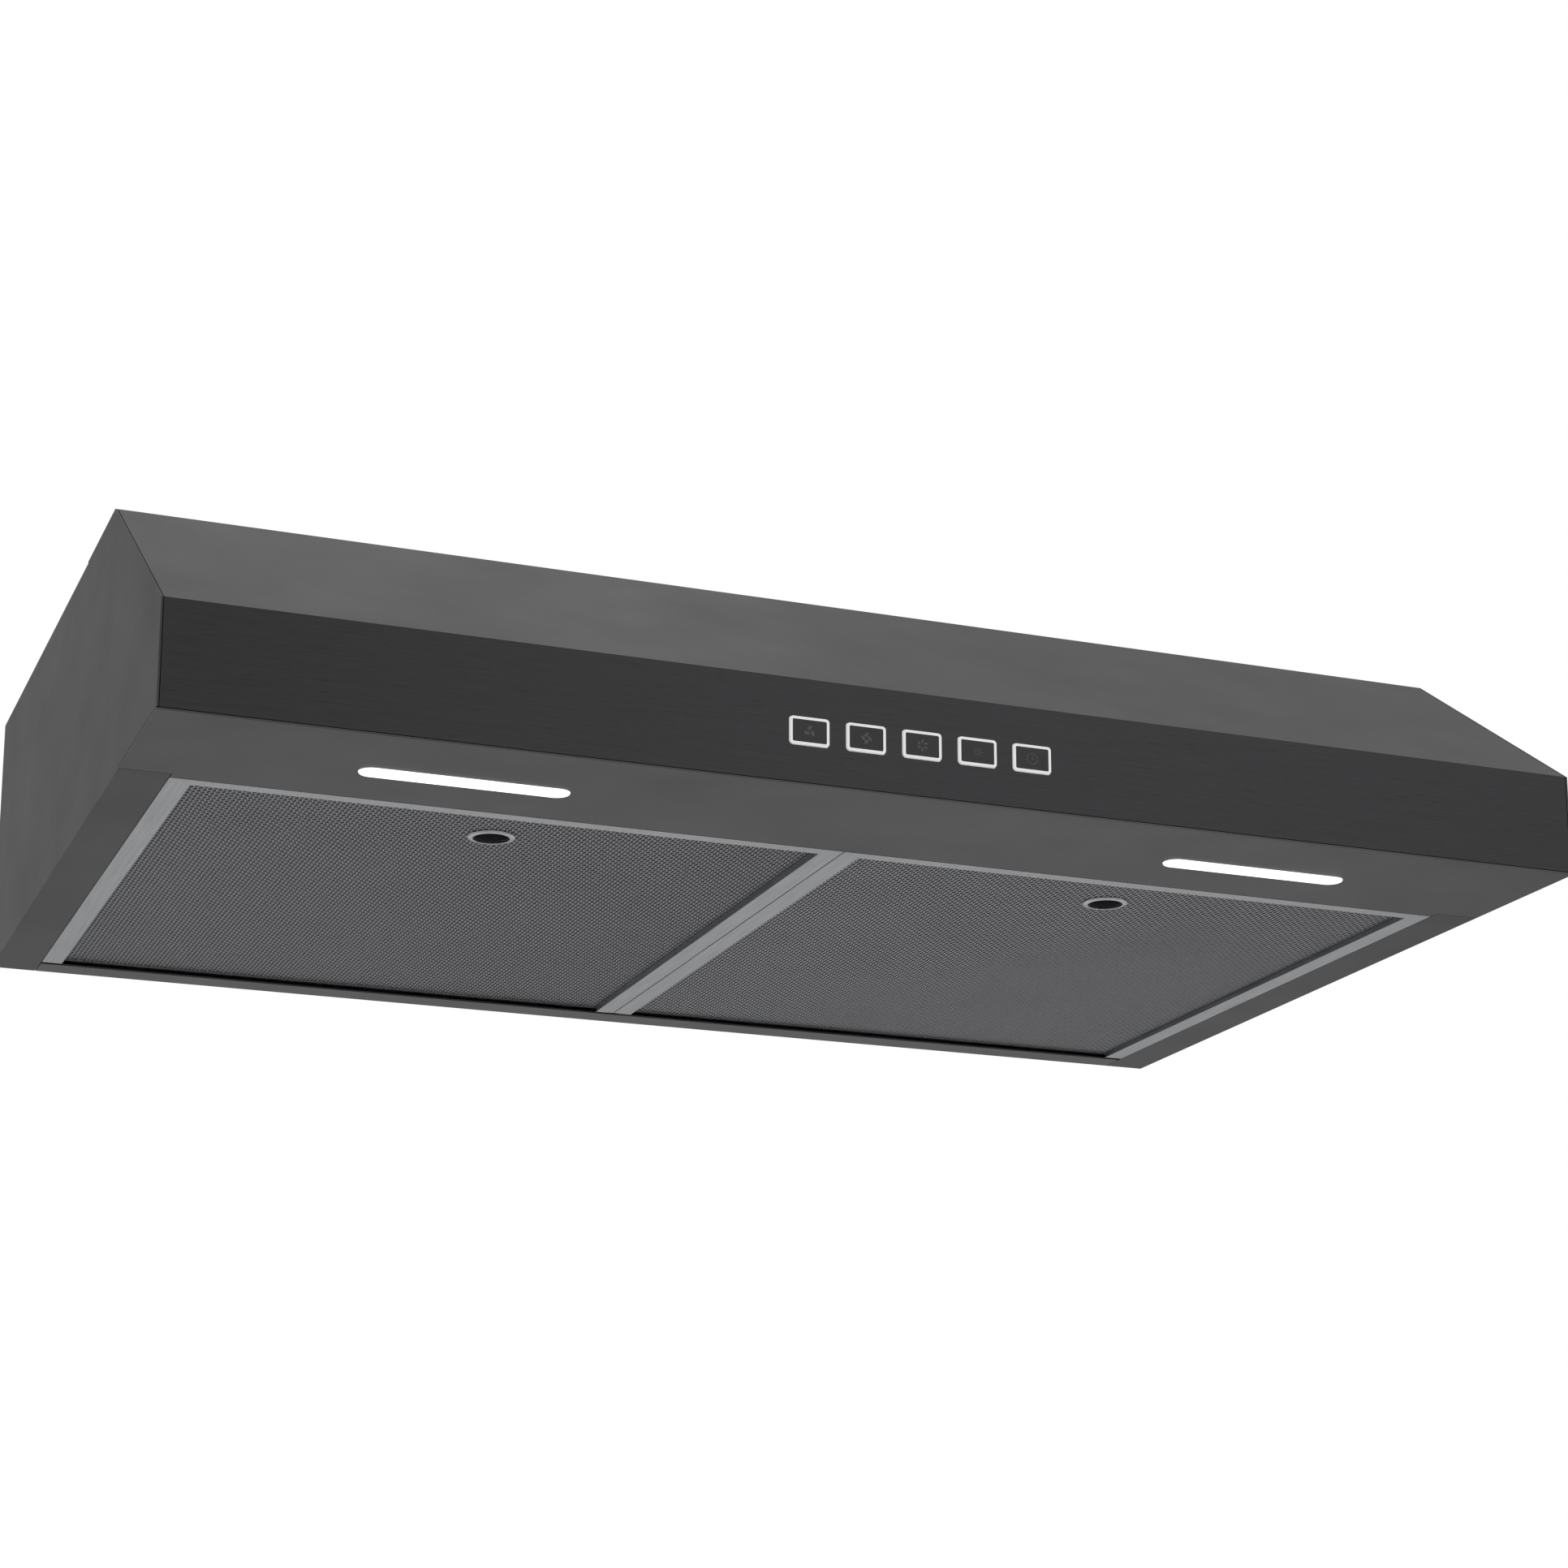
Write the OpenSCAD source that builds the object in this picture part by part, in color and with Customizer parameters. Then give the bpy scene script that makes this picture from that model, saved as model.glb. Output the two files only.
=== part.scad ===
// Under cabinet range hood. A folded sheet body holds a twin-wheel blower, two
// mesh filters that swing down, two light bars, five push buttons, the wiring
// and a duct collar with a back-draught damper.
// +Z is up and the front faces -Y. The origin is the centre of the four
// keyholes that hang the hood, on the outer face of the top panel.

/* [Body] */
// Width across the side panels
hood_w = 759; // [640:1:1060]
// Depth from the fascia to the wall
hood_d = 505.5; // [430:0.5:620]
// Height from the underside to the lap of the front panel on the top
hood_h = 150.8; // [150.8:0.1:200]
// Height of the upright fascia
fascia_h = 54.6; // [50:0.1:70]
// Depth of the slope, from the fascia to the top
slope_run = 140.6; // [110:0.1:170]
// Thickness of the sheet steel
sheet = 1; // [0.8:0.1:1.2]
// Gap at a seam between two sheets
seam = 0.4; // [0.3:0.1:0.6]
// Depth at which the front panel's lap on the top ends
top_lap = 219; // [190:1:225]
// Width of the flanges turned in from the side panels
flange_w = 12; // [8:1:16]
// Depth of the fascia's turned-in edges
return_d = 11; // [8:1:11]

/* [Underside] */
// Depth of the light panel
light_d = 100; // [92:1:120]
// Depth at which the light panel stops lapping the side panels
apron_d = 94; // [80:1:94]
// Width of the rim along each side
rim_w = 25.5; // [20:0.5:36]
// Depth of the lip along the back
lip_d = 18.5; // [16:0.5:26]
// Height of the upstand behind the light panel
upstand_h = 10.4; // [10.4:0.1:14]

/* [Cabinet keyholes] */
// Distance of the keyholes from each side
key_side = 49.3; // [40:0.1:60]
// Distance of the rear keyholes from the wall
key_back = 60; // [50:1:70]
// Distance between the front and rear keyholes
key_span_y = 203.2; // [190:0.1:206]
// Radius of the round end that the screw head goes through
key_head_r = 5.5; // [5:0.1:6.5]
// Width of the slot that holds the screw's neck
key_slot_w = 5; // [4.5:0.1:6]
// Distance from the round end to the end of the slot
key_slot_l = 12; // [10:0.5:14]

/* [Wiring inlet] */
// Radius of the two wiring inlets
inlet_r = 11.1; // [10:0.1:14]
// Distance of the inlets from the right side
inlet_side = 110; // [90:1:120]
// Distance of the top inlet from the wall
inlet_back = 38; // [36:1:44]
// Depth of the rear inlet below the top
inlet_drop = 26; // [22:1:30]

/* [Duct] */
// Width of the duct
duct_w = 254; // [240:1:256]
// Depth of the duct
duct_d = 82.6; // [82:0.1:86]
// Distance from the duct to the wall
duct_back = 25; // [20:1:30]
// Thickness of the collar's sheet
collar_t = 0.8; // [0.6:0.1:1]
// Height of the collar
collar_h = 45; // [38:1:60]
// Width of the collar's flange
collar_flange = 15; // [14:0.5:18]
// Height of the damper's pin
damper_z = 12; // [8:1:16]
// Radius of the damper's pin
damper_pin_r = 1.5; // [1.2:0.1:2]

/* [Blower] */
// Radius of a blower wheel
wheel_r = 50; // [44:0.5:50]
// Length of a blower wheel
wheel_l = 60; // [50:1:66]
// Number of blades on a wheel
blade_n = 30; // [16:2:40]
// Width of a blade
blade_c = 9; // [7:0.5:10]
// Thickness of a blade
blade_t = 0.9; // [0.8:0.1:1.2]
// Thickness of the scroll's sheet
scroll_t = 0.8; // [0.6:0.1:1]
// Clearance from the wheel to the scroll at its start
scroll_gap = 6; // [5:0.5:8]
// Radius of the scroll at its end
scroll_end_r = 82; // [78:0.5:82]
// Clearance from the wheel's ends to the scroll
wheel_gap = 4; // [3:0.5:6]
// Distance from the middle to each scroll
scroll_x = 50; // [50:1:54]
// Radius of the scroll's air inlet
intake_r = 40; // [34:0.5:40]
// Radius of the motor's stator
motor_r = 43; // [36:0.5:44]
// Length of the motor between its end faces
motor_l = 58; // [50:1:58]
// Radius of the shaft
shaft_r = 4; // [3:0.1:5]
// Radial clearance of a shaft or pin that turns in a hole
running_fit = 0.05; // [0.02:0.01:0.08]

/* [Filters] */
// Width of the strip along a filter's outer side
strip_side = 11.6; // [8:0.1:16]
// Width of the strip along the middle of the hood
strip_mid = 11; // [8:0.1:14]
// Width of the strip along a filter's front
strip_front = 8.3; // [6:0.1:12]
// Height of a filter
filter_h = 9.5; // [9.5:0.1:10]
// Height of the mesh above the underside
mesh_z = 3.6; // [3.6:0.1:4.2]
// Thickness of the mesh
mesh_t = 4.6; // [3:0.1:4.6]
// Thickness of each woven face of the mesh
mesh_sheet = 0.6; // [0.4:0.1:0.8]
// Thickness of the filter's channel
channel_t = 0.8; // [0.6:0.1:1]
// Distance of the finger cup from the fascia
cup_d = 151; // [140:1:180]
// Outer radius of the finger cup's ring
cup_ring_r = 12.5; // [11:0.1:16]
// Outer radius of the finger cup
cup_r = 9.6; // [8.5:0.1:10.5]
// Wall of the finger cup
cup_wall = 0.8; // [0.6:0.1:1]
// Height of the finger cup above the mesh
cup_rise = 5; // [4:0.5:8]
// Radius of the pins that a filter turns on
pivot_r = 1.5; // [1.2:0.1:1.6]
// Height of the pins above the underside
pivot_z = 3.2; // [3.2:0.1:3.6]

/* [Buttons] */
// Width of a button
button_w = 20.7; // [16:0.1:23]
// Height of a button
button_h = 14.2; // [11:0.1:15]
// Distance from one button to the next
button_pitch = 30.1; // [29:0.1:34]
// Offset of the row of buttons from the middle
button_x = 0.8; // [-5:0.1:5]
// Height of the row of buttons above the underside
button_z = 27.6; // [25:0.1:29]
// Width of the lit rim around a button
rim_t = 1.3; // [1:0.1:1.6]
// Distance that a button stands out of the fascia
button_proud = 0.8; // [0.6:0.1:1.5]
// Travel of a button
button_travel = 1.2; // [0.8:0.1:1.5]
// Clearance around a button
button_gap = 0.35; // [0.3:0.05:0.5]

/* [Lights] */
// Length of a light slot
lamp_l = 107; // [80:1:120]
// Width of a light slot
lamp_w = 14.4; // [10:0.1:18]
// Distance of each light slot from the middle
lamp_x = 217.5; // [180:0.5:220]
// Distance of the light slots from the fascia
lamp_d = 56.5; // [52:0.5:64]

/* [Hidden] */
$fn = 64;
past = 1;                                     // overshoot of a cutting solid
touch_gap = 0.3;                              // gap between pieces that don't touch
y_back = key_back + key_span_y / 2;
y_front = y_back - hood_d;
z_under = sheet - hood_h;
z_fascia = z_under + fascia_h;
half_w = hood_w / 2;
inner_x = half_w - sheet - seam;              // ends of the sheets between the sides
rim_x = half_w - rim_w;                       // side of the filter opening
lip_y = y_back - lip_d;                       // back of the filter opening
slope_a = atan((sheet - z_fascia) / slope_run);
slope_l = slope_run / cos(slope_a);
screw_r = 1.9;
screw_head_r = 3.5;
screw_head_h = 1.8;
screw_inset = 8;                              // screws of the cover, in from its corners
hole_reach = 20;                              // a screw hole's cut, each way from the top
key_span_x = hood_w - 2 * key_side;
cover_edge = 12;                              // lap of the cover round the rear duct opening
cover_z1 = -14;                               // top of the rear duct opening
cover_z0 = cover_z1 - duct_d;

duct_y1 = y_back - duct_back;
duct_y0 = duct_y1 - duct_d;
duct_y = (duct_y0 + duct_y1) / 2;
damper_y = duct_y0 + collar_t + 4;
damper_play = 1;                              // clearance round the damper in the collar
knuckle_r = damper_pin_r + 0.8;

scroll_start_a = 88;
scroll_start_r = wheel_r + scroll_gap;
scroll_l = wheel_l + 2 * (wheel_gap + scroll_t);
axle_y = duct_y1 - scroll_t - scroll_end_r;
axle_z = -sheet - scroll_start_r - scroll_t - 2;
blower_flange = collar_flange - 2;
bracket_t = 1.5;
boss_r = 10;                                  // motor's end bosses
boss_l = 8;
rubber_r = 15;                                // outside of the rings on the bosses
rubber_t = 4;
leg_w = 22;                                   // half width of the bracket's legs
stator_l = 30;
hub_r = 9;                                    // hub of a blower wheel
hub_l = 20;
disc_t = 2;                                   // discs of a blower wheel

pivot_y = lip_y;
filter_x0 = touch_gap;
filter_x1 = rim_x - seam;
filter_y0 = y_front + light_d + touch_gap;
filter_y1 = lip_y + 7;
rear_bar = 2;                                 // filter's rear bar in front of the lip
relief_d = 4;                                 // strips stop this far before the lip
relief_z = pivot_z - touch_gap;               // height of the bar over the lip
notch_d = 4.6;                                // room in front of the middle pivot
cup_x = (filter_x0 + strip_mid + filter_x1 - strip_side) / 2;
ear_t = 2;
mid_ear_t = 3;
ear_front = 3;
ear_back = 9;
notch_x = mid_ear_t / 2 + 2;

button_depth = 5;                             // buttons, in from the fascia's outer face
rim_round = 1.8;
rim_lip = 1;                                  // the rim's ledge behind the fascia
cap_round = 0.8;
cap_inset = 0.2;                              // cap's face behind the rim's
stem_end = 6;
stem_r = 2;
board_y = 12;
board_t = 1.6;
board_tail = 30;                              // board past the carrier
carrier_w = 4 * button_pitch + button_w + 12;
plug_x = button_x + carrier_w / 2 + 14;       // middle of the harness socket
carrier_h = button_h + 6;
switch_h = 3.5;

lamp_box_w = 24;
lamp_box_h = 13;
lamp_box_t = 1.2;
lamp_box_end = 8;                             // housing past each end of its slot
lamp_flange = 2;
led_n = 11;
led_w = 3.6;

box_half = 38;                                // wiring box: half width, depth and height
box_d = 62;
box_h = 48;
box_x = half_w - inlet_side;
harness_in = 12;                              // depth of the harness hole below the top
can_r = 16;                                   // capacitor
can_l = 52;
can_x = -half_w + 90;

function front(d) = y_front + d;
function above(h) = z_under + h;
// A point on the slope: along it from the fascia, and in from its outer face
function on_slope(along, inward) =
    [y_front + along * cos(slope_a) + inward * sin(slope_a),
     z_fascia + along * sin(slope_a) - inward * cos(slope_a)];
function scroll_r(a) = scroll_start_r
    + (scroll_end_r - scroll_start_r) * (a - scroll_start_a) / (360 - scroll_start_a);

// ---- building blocks ----

// A block between two opposite corners
module span(low, high) translate(low) cube(high - low);

// Outlines drawn in Y and Z, thickened along X
module along_x(x, length) translate([x, 0, 0]) rotate([90, 0, 90]) linear_extrude(length) children();

// Outlines drawn in X and Z, thickened along +Y
module along_y(y, length) translate([0, y + length, 0]) rotate([90, 0, 0]) linear_extrude(length) children();

// A rod along X
module rod_x(x0, x1, y, z, r) translate([x0, y, z]) rotate([0, 90, 0]) cylinder(h = x1 - x0, r = r);

// A rod along Y
module rod_y(y0, y1, x, z, r) translate([x, y0, z]) rotate([-90, 0, 0]) cylinder(h = y1 - y0, r = r);

// A rod along Z
module rod_z(z0, z1, x, y, r) translate([x, y, z0]) cylinder(h = z1 - z0, r = r);

module rounded(w, h, r) {
    square([w - 2 * r, h], center = true);
    square([w, h - 2 * r], center = true);
    for (sx = [-1, 1], sy = [-1, 1])
        translate([sx * (w / 2 - r), sy * (h / 2 - r)]) circle(r);
}

module stadium(length, width) {
    square([length - width, width], center = true);
    for (s = [-1, 1]) translate([s * (length - width) / 2, 0]) circle(width / 2);
}

module to_left() mirror([1, 0, 0]) children();

// ---- screws ----

// Screws that hold the collar, the top panel, the scrolls and the motor bracket
duct_screws = [for (x = [-1, 0, 1], y = [duct_y0 - collar_flange / 2, duct_y1 + collar_flange / 2])
    [x * (scroll_x + scroll_l / 2), y]];
// Screws that hold only the collar's ends
collar_end_screws = [for (s = [-1, 1]) [s * (duct_w / 2 + collar_flange / 2), duct_y]];
// Screws through the back panel into the side panels' flanges
back_screws = [for (s = [-1, 1], z = [-20, z_under + 25])
    [s * (half_w - sheet - flange_w / 2), z]];
// Screws that hold the cover of the rear duct opening
cover_screws = [for (s = [-1, 1], z = [cover_z0, cover_z1])
    [s * (duct_w + cover_edge) / 2, z + (z == cover_z0 ? screw_inset : -screw_inset)]];

module down_screw(p, z) {
    rod_z(z, z + screw_head_h, p[0], p[1], screw_head_r);
    rod_z(z - 3 * sheet - bracket_t, z + screw_head_h / 2, p[0], p[1], screw_r);
}

// Driven from inside, so that the back stays flat against the wall
module back_screw(p) {
    head_y = y_back - 2 * sheet;
    rod_y(head_y - screw_head_h, head_y, p[0], p[1], screw_head_r);
    rod_y(head_y - screw_head_h / 2, y_back, p[0], p[1], screw_r);
}

module duct_screw_holes() for (p = duct_screws) rod_z(-hole_reach, hole_reach, p[0], p[1], screw_r);
module collar_end_holes() for (p = collar_end_screws) rod_z(-hole_reach, hole_reach, p[0], p[1], screw_r);

module sheet_screws() color("silver") {
    for (p = concat(duct_screws, collar_end_screws)) down_screw(p, sheet);
    for (p = concat(back_screws, cover_screws)) back_screw(p);
}

// ---- sheet body ----

module side_panel() difference() {
    tab_low = 20;                             // the flange under the slope stops short of its ends
    tab_high = 10;
    union() {
        along_x(half_w - sheet, sheet) polygon([
            [y_front, above(sheet + seam)], [front(apron_d + seam), above(sheet + seam)],
            [front(apron_d + seam), z_under], [y_back, z_under], [y_back, 0],
            [front(top_lap), 0], [front(top_lap), sheet], [front(slope_run), sheet],
            [y_front, z_fascia]]);
        span([rim_x, front(apron_d + seam), z_under], [half_w - sheet, y_back, above(sheet)]);
        span([half_w - sheet - flange_w, front(slope_run) + 2 * sheet, -2 * sheet],
            [half_w - sheet, y_back - 2 * sheet, -sheet]);
        span([half_w - sheet - flange_w, y_back - 2 * sheet, above(sheet)],
            [half_w - sheet, y_back - sheet, -sheet]);
        along_x(half_w - sheet - flange_w, flange_w) polygon([
            on_slope(tab_low, sheet), on_slope(slope_l - tab_high, sheet),
            on_slope(slope_l - tab_high, 2 * sheet), on_slope(tab_low, 2 * sheet)]);
    }
    for (p = back_screws) rod_y(y_back - 4 * sheet, y_back, p[0], p[1], screw_r);
}

module left_side_panel() color("dimgray") to_left() side_panel();
module right_side_panel() color("dimgray") side_panel();

module front_panel() color("gray") along_x(-inner_x, 2 * inner_x) polygon([
    [y_front, z_fascia], [front(slope_run), sheet], [front(top_lap), sheet],
    [front(top_lap), 0], [front(slope_run) + sheet * tan(slope_a / 2), 0],
    [front(sheet / sin(slope_a)), z_fascia]]);

module control_fascia() color("#303030") difference() {
    top = z_fascia - seam / 4;
    union() {
        span([-inner_x, y_front, above(sheet + seam)], [inner_x, front(sheet), top]);
        span([-inner_x, front(sheet), top - sheet], [inner_x, front(return_d), top]);
        span([-inner_x, front(sheet), above(sheet)], [inner_x, front(return_d), above(2 * sheet)]);
    }
    for (i = [0:4])
        along_y(y_front - past, sheet + 2 * past)
            translate([button_at(i), above(button_z)])
                rounded(button_w + 2 * button_gap, button_h + 2 * button_gap, rim_round + button_gap);
}

module light_panel() color("dimgray") difference() {
    end = front(light_d) - seam;
    union() {
        span([-half_w, y_front, z_under], [half_w, front(apron_d), above(sheet)]);
        span([-rim_x + seam, y_front, z_under], [rim_x - seam, end, above(sheet)]);
        span([-rim_x + seam, end - sheet, z_under], [rim_x - seam, end, above(upstand_h)]);
    }
    for (s = [-1, 1])
        translate([s * lamp_x, front(lamp_d), z_under - past])
            linear_extrude(sheet + 2 * past) stadium(lamp_l, lamp_w);
}

module keyhole() {
    circle(key_head_r);
    translate([-key_slot_w / 2, -key_slot_l]) square([key_slot_w, key_slot_l]);
    translate([0, -key_slot_l]) circle(key_slot_w / 2);
}

module top_panel() color("darkgray") difference() {
    span([-inner_x, front(slope_run) + 2 * sheet, -sheet], [inner_x, y_back - sheet, 0]);
    span([-duct_w / 2, duct_y0, -sheet - past], [duct_w / 2, duct_y1, past]);
    for (sx = [-1, 1], sy = [-1, 1])
        translate([sx * key_span_x / 2, sy * key_span_y / 2, -sheet - past])
            linear_extrude(sheet + 2 * past) keyhole();
    rod_z(-sheet - past, past, box_x, y_back - inlet_back, inlet_r);
    duct_screw_holes();
    collar_end_holes();
}

module back_panel() color("darkgray") difference() {
    union() {
        span([-inner_x, y_back - sheet, above(sheet + seam)], [inner_x, y_back, 0]);
        span([-rim_x + seam, y_back - sheet, z_under], [rim_x - seam, y_back, above(2 * sheet)]);
        span([-rim_x + seam, lip_y, z_under], [rim_x - seam, y_back, above(sheet)]);
    }
    span([-duct_w / 2, y_back - sheet - past, cover_z0], [duct_w / 2, y_back + past, cover_z1]);
    rod_y(y_back - sheet - past, y_back + past, box_x, -inlet_drop, inlet_r);
    for (p = concat(back_screws, cover_screws)) rod_y(y_back - 2 * sheet, y_back + past, p[0], p[1], screw_r);
}

module rear_duct_cover() color("darkgray") difference() {
    span([-duct_w / 2 - cover_edge, y_back - 2 * sheet, cover_z0 - cover_edge],
        [duct_w / 2 + cover_edge, y_back - sheet, cover_z1 + cover_edge]);
    for (p = cover_screws) rod_y(y_back - 4 * sheet, y_back, p[0], p[1], screw_r);
}

// ---- duct collar and damper ----

module duct_collar() color("silver") difference() {
    union() {
        span([-duct_w / 2 - collar_flange, duct_y0 - collar_flange, 0],
            [duct_w / 2 + collar_flange, duct_y1 + collar_flange, sheet]);
        span([-duct_w / 2, duct_y0, 0], [duct_w / 2, duct_y1, collar_h]);
    }
    span([-duct_w / 2 + collar_t, duct_y0 + collar_t, -past],
        [duct_w / 2 - collar_t, duct_y1 - collar_t, collar_h + past]);
    rod_x(-duct_w, duct_w, damper_y, damper_z, damper_pin_r + running_fit);
    duct_screw_holes();
    collar_end_holes();
}

module damper_flap() color("gainsboro") difference() {
    x = duct_w / 2 - collar_t - damper_play;
    union() {
        rod_x(-x, x, damper_y, damper_z, knuckle_r);
        span([-x, damper_y, damper_z + damper_pin_r],
            [x, duct_y1 - collar_t - damper_play, damper_z + knuckle_r]);
    }
    rod_x(-duct_w, duct_w, damper_y, damper_z, damper_pin_r);
}

module damper_pin() color("dimgray")
    rod_x(-duct_w / 2 - 1, duct_w / 2 + 1, damper_y, damper_z, damper_pin_r);

// ---- filters ----

// Room around the middle pivot bracket
module pivot_notch() span([-past, lip_y - notch_d, z_under - past], [notch_x, y_back, 0]);

module filter_frame() color("silver") difference() {
    span([filter_x0, filter_y0, z_under], [filter_x1, filter_y1, above(filter_h)]);
    span([filter_x0 + strip_mid, filter_y0 + strip_front, z_under - past],
        [filter_x1 - strip_side, lip_y - rear_bar, above(filter_h) + past]);
    span([filter_x0 + strip_mid, filter_y0 + strip_front, z_under - past],
        [filter_x1 - strip_side, y_back, above(relief_z)]);
    span([filter_x0 + channel_t, filter_y0 + channel_t, above(mesh_z)],
        [filter_x1 - channel_t, lip_y - rear_bar + 1, above(mesh_z + mesh_t)]);
    span([-past, lip_y - relief_d, z_under - past], [rim_x + past, y_back, above(relief_z)]);
    pivot_notch();
}

// Two woven faces, one on each side of the pack
module filter_mesh() color("#606060") difference() {
    for (z = [mesh_z, mesh_z + mesh_t - mesh_sheet])
        span([filter_x0 + channel_t, filter_y0 + channel_t, above(z)],
            [filter_x1 - channel_t, lip_y - rear_bar + 1, above(z + mesh_sheet)]);
    rod_z(z_under, 0, cup_x, front(cup_d), cup_r);
    pivot_notch();
}

// Pressed ring, crowned towards its inner edge
module finger_ring() color("lightgray") translate([cup_x, front(cup_d), above(mesh_z)]) {
    crown = 1.5;
    edge = 0.4;
    rotate_extrude() polygon([
        [cup_r, 0], [cup_r, -crown / 2], [cup_r + 0.6, -crown], [cup_r + 1.4, -crown],
        [cup_ring_r, -edge], [cup_ring_r, 0]]);
}

module finger_cup() color("#202028") difference() {
    mesh_top = above(mesh_z + mesh_t);
    top = mesh_top + cup_rise;
    rim_low = 0.5;                            // the cup's edge below the mesh
    union() {
        rod_z(above(mesh_z) - rim_low, top, cup_x, front(cup_d), cup_r);
        rod_z(mesh_top, mesh_top + cup_wall, cup_x, front(cup_d), cup_ring_r);
    }
    rod_z(z_under, top - cup_wall, cup_x, front(cup_d), cup_r - cup_wall);
}

module filter_pins() color("silver") {
    rod_x(filter_x1, rim_x + ear_t, pivot_y, above(pivot_z), pivot_r);
    rod_x(touch_gap, notch_x, pivot_y, above(pivot_z), pivot_r);
}

module left_filter_frame() to_left() filter_frame();
module left_filter_mesh() to_left() filter_mesh();
module left_finger_ring() to_left() finger_ring();
module left_finger_cup() to_left() finger_cup();
module left_filter_pins() to_left() filter_pins();
module right_filter_frame() filter_frame();
module right_filter_mesh() filter_mesh();
module right_finger_ring() finger_ring();
module right_finger_cup() finger_cup();
module right_filter_pins() filter_pins();

module filter_pivot_brackets() color("silver") difference() {
    ear_top = above(pivot_z + pivot_r + 2);
    union() {
        span([-mid_ear_t / 2, pivot_y - ear_front, above(sheet)],
            [mid_ear_t / 2, pivot_y + ear_back, ear_top]);
        for (s = [-1, 1])
            translate([s * (rim_x + touch_gap + ear_t / 2), 0, 0])
                span([-ear_t / 2, pivot_y - ear_front, above(sheet)],
                    [ear_t / 2, pivot_y + ear_back, ear_top]);
    }
    rod_x(-hood_w, hood_w, pivot_y, above(pivot_z), pivot_r + running_fit);
}

// Leaf clips on the light panel's upstand that hold the filters' front edges
module filter_catches() color("lightsteelblue") for (s = [-1, 1]) translate([s * cup_x, 0, 0]) {
    rear = front(light_d) - seam - sheet;
    half = 10;                                // half width of a clip
    reach = 8;                                // of its leaf over the filter
    leaf_t = 0.8;
    bead_r = 0.9;
    span([-half, rear - leaf_t, above(3 * sheet)], [half, rear, above(upstand_h + leaf_t)]);
    span([-half, rear - leaf_t, above(upstand_h)], [half, rear + reach, above(upstand_h + leaf_t)]);
    rod_x(-half, half, rear + reach, above(upstand_h + bead_r + 0.1), bead_r);
}

// ---- lights ----

module light_lens() color("white") translate([lamp_x, front(lamp_d), 0]) {
    fit = 0.4;                                // lens smaller than its slot
    translate([0, 0, above(touch_gap)]) linear_extrude(sheet) stadium(lamp_l - fit, lamp_w - fit);
    translate([0, 0, above(sheet)]) linear_extrude(lamp_box_t)
        stadium(lamp_l + 2 * lamp_flange, lamp_w + 2 * lamp_flange);
}

module light_housing() color("whitesmoke") translate([lamp_x, front(lamp_d), 0]) difference() {
    half = lamp_l / 2 + lamp_box_end;
    tab = [6, 7, 1.5];                        // half length, half width and thickness of a foot
    in_x = half - lamp_box_t;
    in_y = lamp_box_w / 2 - lamp_box_t;
    union() {
        span([-half, -lamp_box_w / 2, above(sheet)], [half, lamp_box_w / 2, above(lamp_box_h)]);
        for (s = [-1, 1]) translate([s * (half + tab[0] - 1), 0, 0])
            span([-tab[0], -tab[1], above(sheet)], [tab[0], tab[1], above(sheet + tab[2])]);
    }
    span([-in_x, -in_y, z_under], [in_x, in_y, above(lamp_box_h - lamp_box_t)]);
}

module led_board() color("honeydew") translate([lamp_x, front(lamp_d), 0]) {
    top = above(lamp_box_h - lamp_box_t);
    low = top - board_t;
    half = 6;                                 // half width of the board
    led_t = 1;
    span([-lamp_l / 2, -half, low], [lamp_l / 2, half, top]);
    for (i = [0:led_n - 1]) translate([(i - (led_n - 1) / 2) * lamp_l / (led_n + 1), 0, 0])
        span([-led_w / 2, -led_w / 2, low - led_t], [led_w / 2, led_w / 2, low]);
}

module left_light_lens() to_left() light_lens();
module left_light_housing() to_left() light_housing();
module left_led_board() to_left() led_board();
module right_light_lens() light_lens();
module right_light_housing() light_housing();
module right_led_board() led_board();

module led_driver() color("white") translate([-lamp_x, front(top_lap + 30), -sheet]) {
    size = [90, 36, 22];
    foot = [12, 16, 2];
    translate([-size[0] / 2, -size[1] / 2, -size[2]]) cube(size);
    for (s = [-1, 1]) translate([s * (size[0] / 2 + foot[0] / 2 - 1), 0, 0])
        translate([-foot[0] / 2, -foot[1] / 2, -foot[2]]) cube(foot);
}

// ---- buttons and control board ----

function button_at(i) = button_x + (i - 2) * button_pitch;

module button_rim(i) color("white") difference() {
    translate([button_at(i), 0, above(button_z)]) union() {
        along_y(y_front - button_proud, button_proud + button_depth)
            rounded(button_w, button_h, rim_round);
        along_y(front(sheet + touch_gap), 1.2)
            rounded(button_w + 2 * rim_lip, button_h + 2 * rim_lip, rim_round);
    }
    translate([button_at(i), 0, above(button_z)])
        along_y(y_front - 2 * past, button_depth + 4 * past)
            rounded(button_w - 2 * rim_t, button_h - 2 * rim_t, cap_round);
}

module button_cap(i) color("#282828") translate([button_at(i), 0, above(button_z)]) {
    along_y(y_front - button_proud + cap_inset, button_proud + button_depth - cap_inset)
        rounded(button_w - 2 * rim_t, button_h - 2 * rim_t, cap_round);
    rod_y(front(button_depth), front(stem_end), 0, 0, stem_r);
}

module fan_low_button() button_cap(0);
module fan_low_rim() button_rim(0);
module fan_medium_button() button_cap(1);
module fan_medium_rim() button_rim(1);
module fan_high_button() button_cap(2);
module fan_high_rim() button_rim(2);
module light_button() button_cap(3);
module light_rim() button_rim(3);
module timer_button() button_cap(4);
module timer_rim() button_rim(4);

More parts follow.
